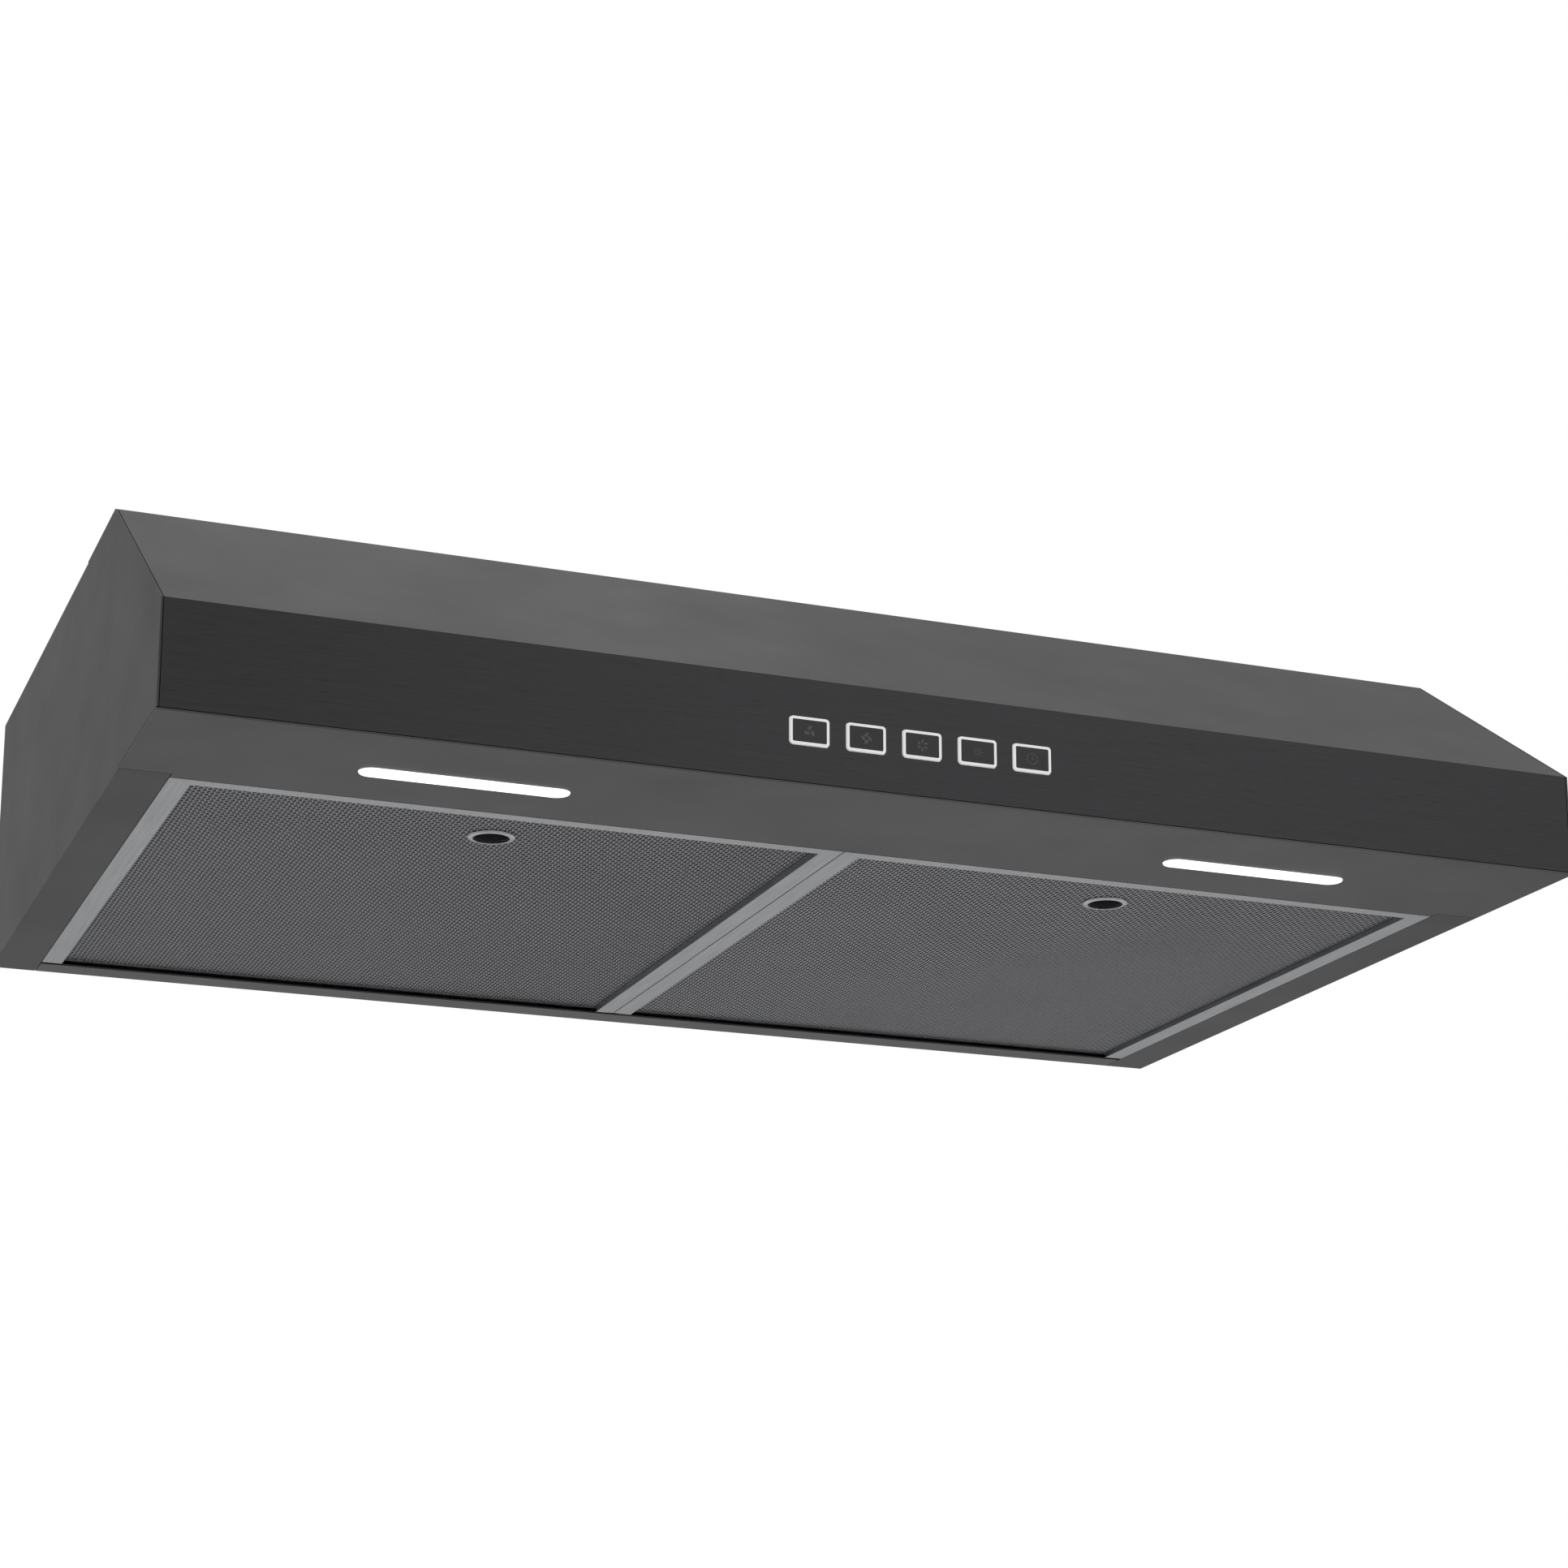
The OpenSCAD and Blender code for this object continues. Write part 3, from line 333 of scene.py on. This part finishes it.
for turn in (0, 90):
    deselect()
    bpy.ops.mesh.primitive_cube_add(size=1, location=(0, 0, HEAD_H))
    cutter = bpy.context.object
    cutter.scale = (CROSS_L, CROSS_W, CROSS_D)
    cutter.rotation_euler.z = math.radians(turn)
    placed()
    modified(screw, "BOOLEAN", object=cutter, operation="DIFFERENCE", solver="EXACT")
    bpy.data.objects.remove(cutter)
collar_low, collar_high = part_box("duct_collar")
cover_low, cover_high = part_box("rear_duct_cover")
scroll_low, scroll_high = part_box("right_scroll_housing")
SHEET, COLLAR_LAP, EDGE = 1 * MM, 15 * MM, 6 * MM
FROM_TOP, FROM_FOOT, FROM_COVER_END = 20 * MM, 25 * MM, 20 * MM
column = (scroll_low.x + scroll_high.x) / 2
end_x, side_x = collar_high.x - COLLAR_LAP / 2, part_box("right_side_panel")[1].x - SHEET - EDGE
# A screw driven down stands as it was made, and one driven back is tipped over.
DOWN, BACK = 0, math.radians(90)
seats = [((x, y, SHEET), DOWN) for x in (-column, 0, column)
         for y in (collar_low.y + COLLAR_LAP / 2, collar_high.y - COLLAR_LAP / 2)]
seats += [((s * end_x, (collar_low.y + collar_high.y) / 2, SHEET), DOWN) for s in (-1, 1)]
seats += [((s * side_x, wall - 2 * SHEET, z), BACK) for s in (-1, 1)
          for z in (-FROM_TOP, underside + FROM_FOOT)]
seats += [((s * (cover_high.x - EDGE), wall - 2 * SHEET, z), BACK) for s in (-1, 1)
          for z in (cover_low.z + FROM_COVER_END, cover_high.z - FROM_COVER_END)]
# No two recesses on top stop at the same angle: each is this much past the last.
TWIST = 0.7
screws = []
for number, (place, tilt) in enumerate(seats):
    one = copied(screw)
    one.location = place
    one.rotation_euler = (tilt, 0, 0 if tilt else TWIST * number)
    screws.append(placed())
bpy.data.objects.remove(screw)
finished(joined(screws), "pan_head_screws", "hood", plated, stands_for=("sheet_screws",))


# ---- filter frames ----
# Extruded aluminium channel, mitred and riveted round the mesh. The mill finish
# is a soft silver grey with fine drawing lines along the hood's depth.
aluminium = worked("mill_finish_aluminium", "#acafb1", "#c3c6c8", 0.36, (1.2, 40, 1.2), 0.02)
paint(aluminium, "left_filter_frame", "right_filter_frame")


# ---- filter mesh ----
# Expanded aluminium: a sheet is slit and pulled open, so its strands meet and part in
# turn. The lowest layer is modelled strand by strand, over the packed layers, which are the same aluminium
# painted darker as painted shade of their depth.
# The packed layers' darker grey is painted shade of the deeper layers, not a darker metal.
packed_layers_painted_shade = worked("packed_expanded_aluminium_painted_shade", "#646467", "#868689", 0.5, (1.6, 3.2, 1.6), 0.5)
strand_metal = worked("slit_and_pulled_aluminium", "#9b9b9e", "#b5b5b8", 0.42, (0.5, 6, 0.5), 0.05)
paint(packed_layers_painted_shade, "left_filter_mesh", "right_filter_mesh")

PITCH, HALF_CELL, SWING = 2.4 * MM, 2.5 * MM, 0.55 * MM
STRAND_W, STRAND_T, STRAND_TILT = 0.8 * MM, 0.45 * MM, 0.15
INNER_STRIP, OUTER_STRIP, FRONT_STRIP, REAR_STRIP = 11.1 * MM, 11.7 * MM, 8.4 * MM, 9.1 * MM
RING_LAP, TINY = 1.6 * MM, 0.01 * MM
frame_low, frame_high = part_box("right_filter_frame")
mesh_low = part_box("right_filter_mesh")[0].z
open_x = (frame_low.x + INNER_STRIP, frame_high.x - OUTER_STRIP)
open_y = (frame_low.y + FRONT_STRIP, frame_high.y - REAR_STRIP)
ring_low, ring_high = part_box("right_finger_ring")
cup_x, cup_y = (ring_low.x + ring_high.x) / 2, (ring_low.y + ring_high.y) / 2
RING_R = (ring_high.x - ring_low.x) / 2
rows = math.ceil((open_y[1] - open_y[0]) / (2 * HALF_CELL)) + 1
pairs = math.ceil((open_x[1] - open_x[0]) / (2 * PITCH)) + 1
deselect()
bpy.ops.mesh.primitive_cube_add(size=1, location=(
    open_x[0] - SWING, open_y[0] - HALF_CELL / 2, mesh_low - STRAND_T / 2))
strand = bpy.context.object
strand.scale = (STRAND_W, HALF_CELL, STRAND_T)
placed()
bpy.ops.object.mode_set(mode="EDIT")
pick("faces", lambda middle, normal: abs(normal.y) > 0.9)
bpy.ops.mesh.delete(type="ONLY_FACE")
pick("verts", lambda middle, normal: middle.x < open_x[0] - SWING)
bpy.ops.transform.translate(value=(0, 0, STRAND_T * STRAND_TILT))
pick("verts", lambda middle, normal: middle.y > open_y[0] - HALF_CELL / 2)
bpy.ops.transform.translate(value=(2 * SWING, 0, 0))
pick("edges", lambda middle, normal: abs(middle.y - open_y[0]) < TINY)
bpy.ops.mesh.extrude_region_move(TRANSFORM_OT_translate={"value": (-2 * SWING, HALF_CELL, 0)})
bpy.ops.object.mode_set(mode="OBJECT")
modified(strand, "ARRAY", use_relative_offset=False, use_constant_offset=True, count=rows,
         constant_offset_displace=(0, 2 * HALF_CELL, 0), use_merge_vertices=True, merge_threshold=TINY)
twin = copied(strand)
twin.location = (PITCH, HALF_CELL, 0)
placed()
weave = joined([strand, twin])
modified(weave, "ARRAY", use_relative_offset=False, use_constant_offset=True, count=pairs,
         constant_offset_displace=(2 * PITCH, 0, 0), use_merge_vertices=False)
bpy.ops.object.mode_set(mode="EDIT")
for corner, outward in (((open_x[0], 0, 0), (-1, 0, 0)), ((open_x[1], 0, 0), (1, 0, 0)),
                        ((0, open_y[0], 0), (0, -1, 0)), ((0, open_y[1], 0), (0, 1, 0))):
    bpy.ops.mesh.select_all(action="SELECT")
    bpy.ops.mesh.bisect(plane_co=corner, plane_no=outward, clear_outer=True)
hole = Vector((cup_x, cup_y))


def under_ring(middle, normal):
    """Whether a length of strand lies under the ring or the cup: its four sides go together."""
    strand_x = open_x[0] + round((middle.x - open_x[0]) / PITCH) * PITCH
    return (Vector((strand_x, middle.y)) - hole).length < RING_R - RING_LAP


def face_out():
    """In edit mode, makes every face point outwards, and leaves the mode."""
    bpy.ops.mesh.select_all(action="SELECT")
    bpy.ops.mesh.normals_make_consistent(inside=False)
    bpy.ops.object.mode_set(mode="OBJECT")


pick("faces", under_ring)
bpy.ops.mesh.delete(type="FACE")
bpy.ops.mesh.select_all(action="SELECT")
bpy.ops.mesh.fill_holes(sides=0)
face_out()


def mirrored(piece):
    """A copy of a right-hand piece for the left of the hood."""
    twin = copied(piece)
    bpy.ops.object.mode_set(mode="EDIT")
    bpy.ops.mesh.select_all(action="SELECT")
    bpy.ops.transform.resize(value=(-1, 1, 1), center_override=(0, 0, 0))
    face_out()
    return twin


finished(mirrored(weave), "left_filter_strands", "left_filter", strand_metal)
finished(weave, "right_filter_strands", "right_filter", strand_metal)


# ---- finger rings and cups ----
# A pressed ring of bright steel clamps a dark cup into the mesh, deep enough for
# a fingertip to pull the filter down. The ring is crowned and its edges are rolled.
RING_T, CROWN, ROLLED_R = 1.0 * MM, 0.6 * MM, 0.35 * MM
CUP_R, CUP_WALL, CUP_FLOOR_R = 9.6 * MM, 0.8 * MM, 2.2 * MM
# Plating gives the ring a clear bright edge, and spark-eroded tooling gives the cup a
# fine even matt with a trace of blue.
bright = worked("nickel_plated_pressed_steel", "#b9b9ba", "#d2d2d2", 0.24, (3, 3, 3), 0.01)
abs_dark = worked("moulded_abs_blue_black", "#33343e", "#40414c", 0.45, (0.25, 0.25, 0.25), 0.04, 0.0)
deselect()
bpy.ops.mesh.primitive_cylinder_add(vertices=96, radius=RING_R, depth=RING_T,
                                    location=(cup_x, cup_y, mesh_low - RING_T / 2))
ring = placed()
bpy.ops.object.mode_set(mode="EDIT")
pick("faces", lambda middle, normal: abs(normal.z) > 0.9)
bpy.ops.mesh.inset(thickness=RING_R - CUP_R)
bpy.ops.mesh.bridge_edge_loops()
pick("verts", lambda middle, normal: (middle.xy - hole).length < CUP_R + TINY
     and middle.z < mesh_low - RING_T / 2)
bpy.ops.transform.translate(value=(0, 0, -CROWN))
face_out()
modified(ring, "BEVEL", width=ROLLED_R, segments=3, limit_method="ANGLE", angle_limit=math.radians(40))
finished(mirrored(ring), "left_cup_ring", "left_filter", bright, 60, ("left_finger_ring",))
finished(ring, "right_cup_ring", "right_filter", bright, 60, ("right_finger_ring",))

cup_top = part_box("right_finger_cup")[1].z
deselect()
bpy.ops.mesh.primitive_cylinder_add(vertices=96, radius=CUP_R, depth=cup_top - mesh_low,
                                    location=(cup_x, cup_y, (cup_top + mesh_low) / 2))
cup = placed()
bpy.ops.object.mode_set(mode="EDIT")
pick("faces", lambda middle, normal: normal.z > 0.9)
bpy.ops.mesh.bevel(offset=CUP_FLOOR_R, segments=5, affect="EDGES")
pick("faces", lambda middle, normal: normal.z < -0.9)
bpy.ops.mesh.delete(type="ONLY_FACE")
bpy.ops.object.mode_set(mode="OBJECT")
modified(cup, "SOLIDIFY", thickness=CUP_WALL, offset=-1)
finished(mirrored(cup), "left_cup", "left_filter", abs_dark, 40, ("left_finger_cup",))
finished(cup, "right_cup", "right_filter", abs_dark, 40, ("right_finger_cup",))


# ---- light bars ----
# An opal acrylic lens is clipped into each slot and stands a little proud, so it
# washes the panel round it. Behind it a white housing holds a strip of diodes.
DIODE_PITCH = 9 * MM


def lit_plastic(name, code, roughness, strength):
    """Translucent plastic lit from behind, a little uneven as diodes light it."""
    material, tree, shader, place = surface(name, code, roughness, 0.0)
    patches = add(tree, "TexNoise", {"Vector": place}, {"Scale": 1 / DIODE_PITCH, "Detail": 2})
    glow = add(tree, "MapRange", {"Value": patches.outputs[0]},
               {"To Min": 0.92 * strength, "To Max": 1.08 * strength})
    tree.links.new(glow.outputs[0], shader.inputs["Emission Strength"])
    shader.inputs["Emission Color"].default_value = linear(code)
    return material


opal = lit_plastic("lit_opal_acrylic", "#fffaf0", 0.4, 1.6)
PROUD, LENS_LEDGE = 0.5 * MM, 2.3 * MM
lens_low, lens_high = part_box("right_light_lens")
slot_half = (lens_high - lens_low) / 2 - Vector((LENS_LEDGE, LENS_LEDGE, 0))
lens_mid = (lens_low + lens_high) / 2
deselect()
bpy.ops.mesh.primitive_cylinder_add(vertices=64, radius=slot_half.y, depth=lens_high.z - underside + PROUD,
                                    location=(lens_mid.x, lens_mid.y, (lens_high.z + underside - PROUD) / 2))
lens = placed()
bpy.ops.object.mode_set(mode="EDIT")
for side in (-1, 1):
    pick("verts", lambda middle, normal: side * (middle.x - lens_mid.x) > TINY)
    bpy.ops.transform.translate(value=(side * (slot_half.x - slot_half.y), 0, 0))
pick("faces", lambda middle, normal: normal.z < -0.9)
bpy.ops.mesh.bevel(offset=PROUD, segments=3, affect="EDGES")
bpy.ops.object.mode_set(mode="OBJECT")
finished(mirrored(lens), "left_opal_lens", "hood", opal, 50, ("left_light_lens",))
finished(lens, "right_opal_lens", "hood", opal, 50, ("right_light_lens",))

# Moulded polycarbonate is an even warm white, and its fine sparked skin spreads the
# highlights. The diodes are yellow dots of phosphor on a glossy white mask.
white_pc = worked("moulded_white_polycarbonate", "#dcdbd6", "#ecebe6", 0.4, (0.5, 0.5, 0.5), 0.05, 0.0)
paint(white_pc, "left_light_housing", "right_light_housing", "led_driver")


def circuit_board(name, axis, level, below, above, turn):
    """A masked board with faint tracks on one side of a level on an axis, and its parts on the
    other. Below and above are each a dark and a light tone, and turn lays the tracks flat."""
    material, tree, shader, place = surface(name, below[1], 0.35, 0.0)
    laid = add(tree, "Mapping", {"Vector": place}, {"Rotation": turn})
    tracks = add(tree, "TexBrick", {"Vector": laid.outputs[0]},
                 {"Color1": (1, 1, 1, 1), "Color2": (0.8, 0.8, 0.8, 1), "Mortar": (0, 0, 0, 1), "Scale": 1.0,
                  "Mortar Size": 0.25 * MM, "Brick Width": 7 * MM, "Row Height": 1.8 * MM})
    parts = add(tree, "SeparateXYZ", {"Vector": place})
    step = add(tree, "Math", {0: parts.outputs[axis]}, {1: level}, operation="GREATER_THAN")
    tones = [add(tree, "Mix", {"Factor": tracks.outputs[0]}, {"A": linear(dark), "B": linear(light)},
                 data_type="RGBA").outputs["Result"] for dark, light in (below, above)]
    both = add(tree, "Mix", {"Factor": step.outputs[0], "A": tones[0], "B": tones[1]}, data_type="RGBA")
    tree.links.new(both.outputs["Result"], shader.inputs["Base Color"])
    return material


DIODE_H = 0.9 * MM
diode_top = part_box("right_led_board")[0].z + DIODE_H
led_board = circuit_board("white_solder_mask_and_diodes", 2, diode_top, ("#d8c23c", "#e8d658"),
                          ("#d9dad5", "#eeeeea"), (0, 0, 0))
paint(led_board, "left_led_board", "right_led_board")


# ---- buttons ----
# Five satin caps in lit translucent rims, each rim and cap on its own stem. The
# signs are pad-printed in grey: three strengths of fan, a lamp and a clock.

# The caps have the soft even sheen of a polished mould, the rims a steady cool glow, and
# the ink is matt and a little thin in places.
rim_light = lit_plastic("lit_translucent_polycarbonate", "#e4e4e2", 0.4, 0.5)
cap_abs = worked("satin_moulded_abs", "#2a2a2b", "#323233", 0.34, (0.3, 0.3, 0.3), 0.03, 0.0)
ink = worked("grey_pad_printed_ink", "#5b5b5d", "#6c6c6e", 0.5, (0.3, 0.3, 0.3), 0.01, 0.0)
PRINT_T = 0.06 * MM


def flat(width, height, along, up, turn=0.0, corners=20):
    """A printed oval or, with 4 corners, a bar: its place is from the middle of the cap."""
    deselect()
    if corners == 4:
        bpy.ops.mesh.primitive_plane_add(size=1, location=(0, 0, 0))
    else:
        bpy.ops.mesh.primitive_circle_add(vertices=corners, radius=0.5, fill_type="NGON")
    mark = bpy.context.object
    mark.scale = (width * MM, height * MM, 1)
    placed()
    mark.rotation_euler.z = turn
    placed()
    mark.location = (along * MM, up * MM, 0)
    return placed()


def hoop(radius, width):
    """A printed circle line."""
    mark = flat(2 * radius, 2 * radius, 0, 0, corners=40)
    bpy.ops.object.mode_set(mode="EDIT")
    bpy.ops.mesh.select_all(action="SELECT")
    bpy.ops.mesh.inset(thickness=width * MM)
    bpy.ops.mesh.delete(type="FACE")
    bpy.ops.object.mode_set(mode="OBJECT")
    return mark


def fan(blades, width, length, radius, lean):
    """Printed fan blades, each an oval that leans back from its spoke."""
    turns = [2 * math.pi * i / blades for i in range(blades)]
    return [flat(width, length, -radius * math.sin(turn), radius * math.cos(turn), turn - lean)
            for turn in turns]


INK_LINE, RAY_R = 0.35, 2.4
rays = [flat(INK_LINE, 0.9, -RAY_R * math.sin(turn), RAY_R * math.cos(turn), turn, 4)
        for turn in [math.radians(45 * i) for i in range(8)]]
lamp = rays + [hoop(1.4, INK_LINE)]
clock = [hoop(3.0, INK_LINE), flat(INK_LINE, 1.8, 0, 1.075, 0, 4), flat(1.5, INK_LINE, 0.575, 0, 0, 4)]
signs = {"fan_low": fan(3, 1.8, 2.9, 1.8, 0.75), "fan_medium": fan(4, 1.5, 2.9, 1.8, 0.75),
         "fan_high": fan(6, 1.1, 2.2, 2.1, 0.5), "light": lamp, "timer": clock}
for key, marks in signs.items():
    low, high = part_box(key + "_button")
    sign = joined(marks)
    bpy.ops.object.mode_set(mode="EDIT")
    bpy.ops.mesh.select_all(action="SELECT")
    bpy.ops.mesh.extrude_region_move(TRANSFORM_OT_translate={"value": (0, 0, PRINT_T)})
    face_out()
    sign.rotation_euler.x = math.radians(90)
    sign.location = ((low.x + high.x) / 2, low.y, (low.z + high.z) / 2)
    placed()
    finished(sign, key + "_sign", key + "_key", ink)
    paint(cap_abs, key + "_button")
    paint(rim_light, key + "_rim")


# ---- switch board ----
# Behind the fascia a black carrier guides the buttons over dome switches on a
# green board, which also holds the relay, the controller and the harness socket.

# Black mouldings show as a matt skin with soft light on their edges. The board is a
# glossy green with faint tracks, and its parts are dark.
black_abs = worked("moulded_black_abs", "#19191b", "#252528", 0.5, (0.4, 0.4, 0.4), 0.05, 0.0)
paint(black_abs, "button_carrier", "tact_switches")
BOARD_BACK = 13.7 * MM
board_back = front + BOARD_BACK
green_board = circuit_board("green_solder_mask_board", 1, board_back, ("#2f7a4c", "#1d5a36"),
                            ("#3a3a3d", "#1c1c1e"), (math.radians(90), 0, 0))
paint(green_board, "control_board")


# ---- blower ----
# Two squirrel-cage wheels of rolled galvanised strip on one shaft. The motor
# between them has a stack of varnished laminations and die-cast end bells.

# Rolled strip keeps its mill's streaks, cast alloy is sandy and dull, the drawn can has
# fine bright rings, and rubber is a deep matt.
wheel_steel = worked("rolled_galvanised_strip", "#9a9da0", "#b2b5b7", 0.4, (14, 1.5, 1.5), 0.03)
cast_alloy = worked("die_cast_alloy", "#a0a3a6", "#bdc0c2", 0.52, (0.5, 0.5, 0.5), 0.15)
can_alloy = worked("drawn_aluminium_can", "#b4b7ba", "#c9cccf", 0.32, (20, 0.8, 0.8), 0.02)
rubber = worked("moulded_rubber", "#171717", "#242424", 0.75, (0.6, 0.6, 0.6), 0.08, 0.0)
paint(wheel_steel, "left_blower_wheel", "right_blower_wheel")
paint(cast_alloy, "motor_end_bells")
paint(can_alloy, "capacitor")
paint(rubber, "motor_rubber_rings")

# The stack's edges are fine dark and light lines under varnish. The sheets are drawn
# 1 mm thick, twice their real size, so that they show. The wave pattern's own bands
# repeat every pi / 10.
LAMINATION = 1.0 * MM
WAVE_PERIOD = math.pi / 10
stack, tree, shader, place = surface("varnished_laminations", "#70747a", 0.45)
sheets = add(tree, "TexWave", {"Vector": place}, {"Scale": WAVE_PERIOD / LAMINATION, "Distortion": 0.3},
             wave_type="BANDS", bands_direction="X")
tone = add(tree, "Mix", {"Factor": sheets.outputs[1]}, {"A": linear("#50545a"), "B": linear("#7c8086")},
           data_type="RGBA")
bump = add(tree, "Bump", {"Height": sheets.outputs[1]}, {"Strength": 0.5, "Distance": 0.1 * MM})
tree.links.new(tone.outputs["Result"], shader.inputs["Base Color"])
tree.links.new(bump.outputs[0], shader.inputs["Normal"])
paint(stack, "motor_stator")


# ---- wiring ----
# Wires in a braided sleeve run from the control board's socket under the top
# panel to the wiring box, and a branch drops to the motor. Nylon ties hold them.

# Nylon is a warm ivory with a slight waxy shine. The sleeve's crossed threads show as a
# fine check, drawn 1.2 mm across so that it shows.
THREAD = 1.2 * MM
nylon = worked("moulded_ivory_nylon", "#d2cebd", "#e4e0d1", 0.42, (0.6, 0.6, 0.6), 0.05, 0.0)
paint(nylon, "terminal_block")
braid, tree, shader, place = surface("braided_polyester_sleeve", "#202022", 0.6, 0.0)
crossed = add(tree, "Mapping", {"Vector": place}, {"Rotation": (0.6, 0.6, math.radians(45))})
threads = add(tree, "TexChecker", {"Vector": crossed.outputs[0]},
              {"Color1": linear("#18181a"), "Color2": linear("#333338"), "Scale": 1 / THREAD})
bump = add(tree, "Bump", {"Height": threads.outputs[1]}, {"Strength": 0.5, "Distance": 0.2 * MM})
tree.links.new(threads.outputs[0], shader.inputs["Base Color"])
tree.links.new(bump.outputs[0], shader.inputs["Normal"])


def sleeve(points, radius, bend, steps=6):
    """A tube along points, its corners rounded by curves that start bend before them."""
    route = [points[0]]
    for before, corner, after in zip(points, points[1:], points[2:]):
        start = corner + (before - corner).normalized() * bend
        end = corner + (after - corner).normalized() * bend
        for t in (i / steps for i in range(steps + 1)):
            route.append(start.lerp(corner, t).lerp(corner.lerp(end, t), t))
    route.append(points[-1])
    data = bpy.data.curves.new("sleeve", "CURVE")
    data.dimensions, data.bevel_depth, data.bevel_resolution, data.use_fill_caps = "3D", radius, 3, True
    line = data.splines.new("POLY")
    line.points.add(len(route) - 1)
    for point, place in zip(line.points, route):
        point.co = (*place, 1)
    tube = bpy.data.objects.new("sleeve", data)
    bpy.context.collection.objects.link(tube)
    choose(tube)
    bpy.ops.object.convert(target="MESH")
    bpy.ops.object.mode_set(mode="EDIT")
    bpy.ops.mesh.select_all(action="SELECT")
    bpy.ops.mesh.remove_doubles(threshold=TINY)
    face_out()
    return bpy.context.object


MAIN_R, BRANCH_R, BEND = 3.0 * MM, 2.5 * MM, 13 * MM
# Where the route leaves the socket on the board, and its first straight length
SOCKET_FROM_END, SOCKET_BACK, SOCKET_UP, LEG = 16 * MM, 22.6 * MM, 24.6 * MM, 14 * MM
# Under the top panel: past the slope's fold, out to the fork, and its drop below the top
SLOPE_RUN, PAST_FOLD, FORK_OUT, FORK_AHEAD, UNDER_TOP = 140.6 * MM, 20 * MM, 30 * MM, 52 * MM, 9 * MM
# At the wiring box: its depth, the height of its hole, the lead to it and the end inside
BOX_DEPTH, BOX_HOLE_Z, BOX_LEAD, BOX_INSIDE = 62 * MM, -12 * MM, 20 * MM, 6 * MM
MOTOR_DROP_X = 8 * MM
plug = Vector((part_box("control_board")[1].x - SOCKET_FROM_END, front + SOCKET_BACK, underside + SOCKET_UP))
fold_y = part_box("front_panel")[0].y + SLOPE_RUN
box_side, box_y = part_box("wiring_box")[0].x, wall - SHEET - BOX_DEPTH / 2
stator_low, stator_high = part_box("motor_stator")
motor_z = (stator_low.z + stator_high.z) / 2
fork = Vector((plug.x + FORK_OUT, collar_low.y - FORK_AHEAD, -UNDER_TOP))
main = [plug, plug + Vector((0, LEG, 0)), Vector((fork.x, fold_y + PAST_FOLD, fork.z)), fork,
        Vector((box_side - BOX_LEAD, box_y, BOX_HOLE_Z)), Vector((box_side + BOX_INSIDE, box_y, BOX_HOLE_Z))]
branch = [fork, Vector((MOTOR_DROP_X, fork.y, fork.z)), Vector((MOTOR_DROP_X, fork.y, motor_z)),
          Vector((MOTOR_DROP_X, stator_low.y, motor_z))]
main_sleeve = sleeve(main, MAIN_R, BEND)
finished(main_sleeve, "main_wire_sleeve", "hood", braid, 50, ("wire_harness",))
finished(sleeve(branch, BRANCH_R, BEND), "motor_wire_sleeve", "hood", braid, 50)


BAND_W, BAND_T = 2.4 * MM, 0.6 * MM
HEAD_SIZE, HEAD_OUT, HEAD_BEVEL = (2.4 * MM, 3.6 * MM, 3.2 * MM), 1.6 * MM, 0.4 * MM


def tie(radius, place, along):
    """A nylon tie: a flat band round a sleeve, with its locking head on the outside."""
    deselect()
    bpy.ops.mesh.primitive_cylinder_add(vertices=32, radius=radius, depth=BAND_W, end_fill_type="NOTHING")
    band = placed()
    modified(band, "SOLIDIFY", thickness=BAND_T, offset=1)
    deselect()
    bpy.ops.mesh.primitive_cube_add(size=1, location=(radius + HEAD_OUT, 0, 0))
    head = bpy.context.object
    head.scale = HEAD_SIZE
    placed()
    modified(head, "BEVEL", width=HEAD_BEVEL, segments=2)
    whole = joined([band, head])
    whole.rotation_euler = along.to_track_quat("Z", "Y").to_euler()
    whole.location = place
    return placed()


ties = [tie(radius, start.lerp(end, share), end - start) for share in (0.3, 0.7) for start, end, radius in
        ((main[2], main[3], MAIN_R), (branch[0], branch[1], BRANCH_R), (branch[1], branch[2], BRANCH_R))]
finished(joined(ties), "nylon_ties", "hood", nylon)
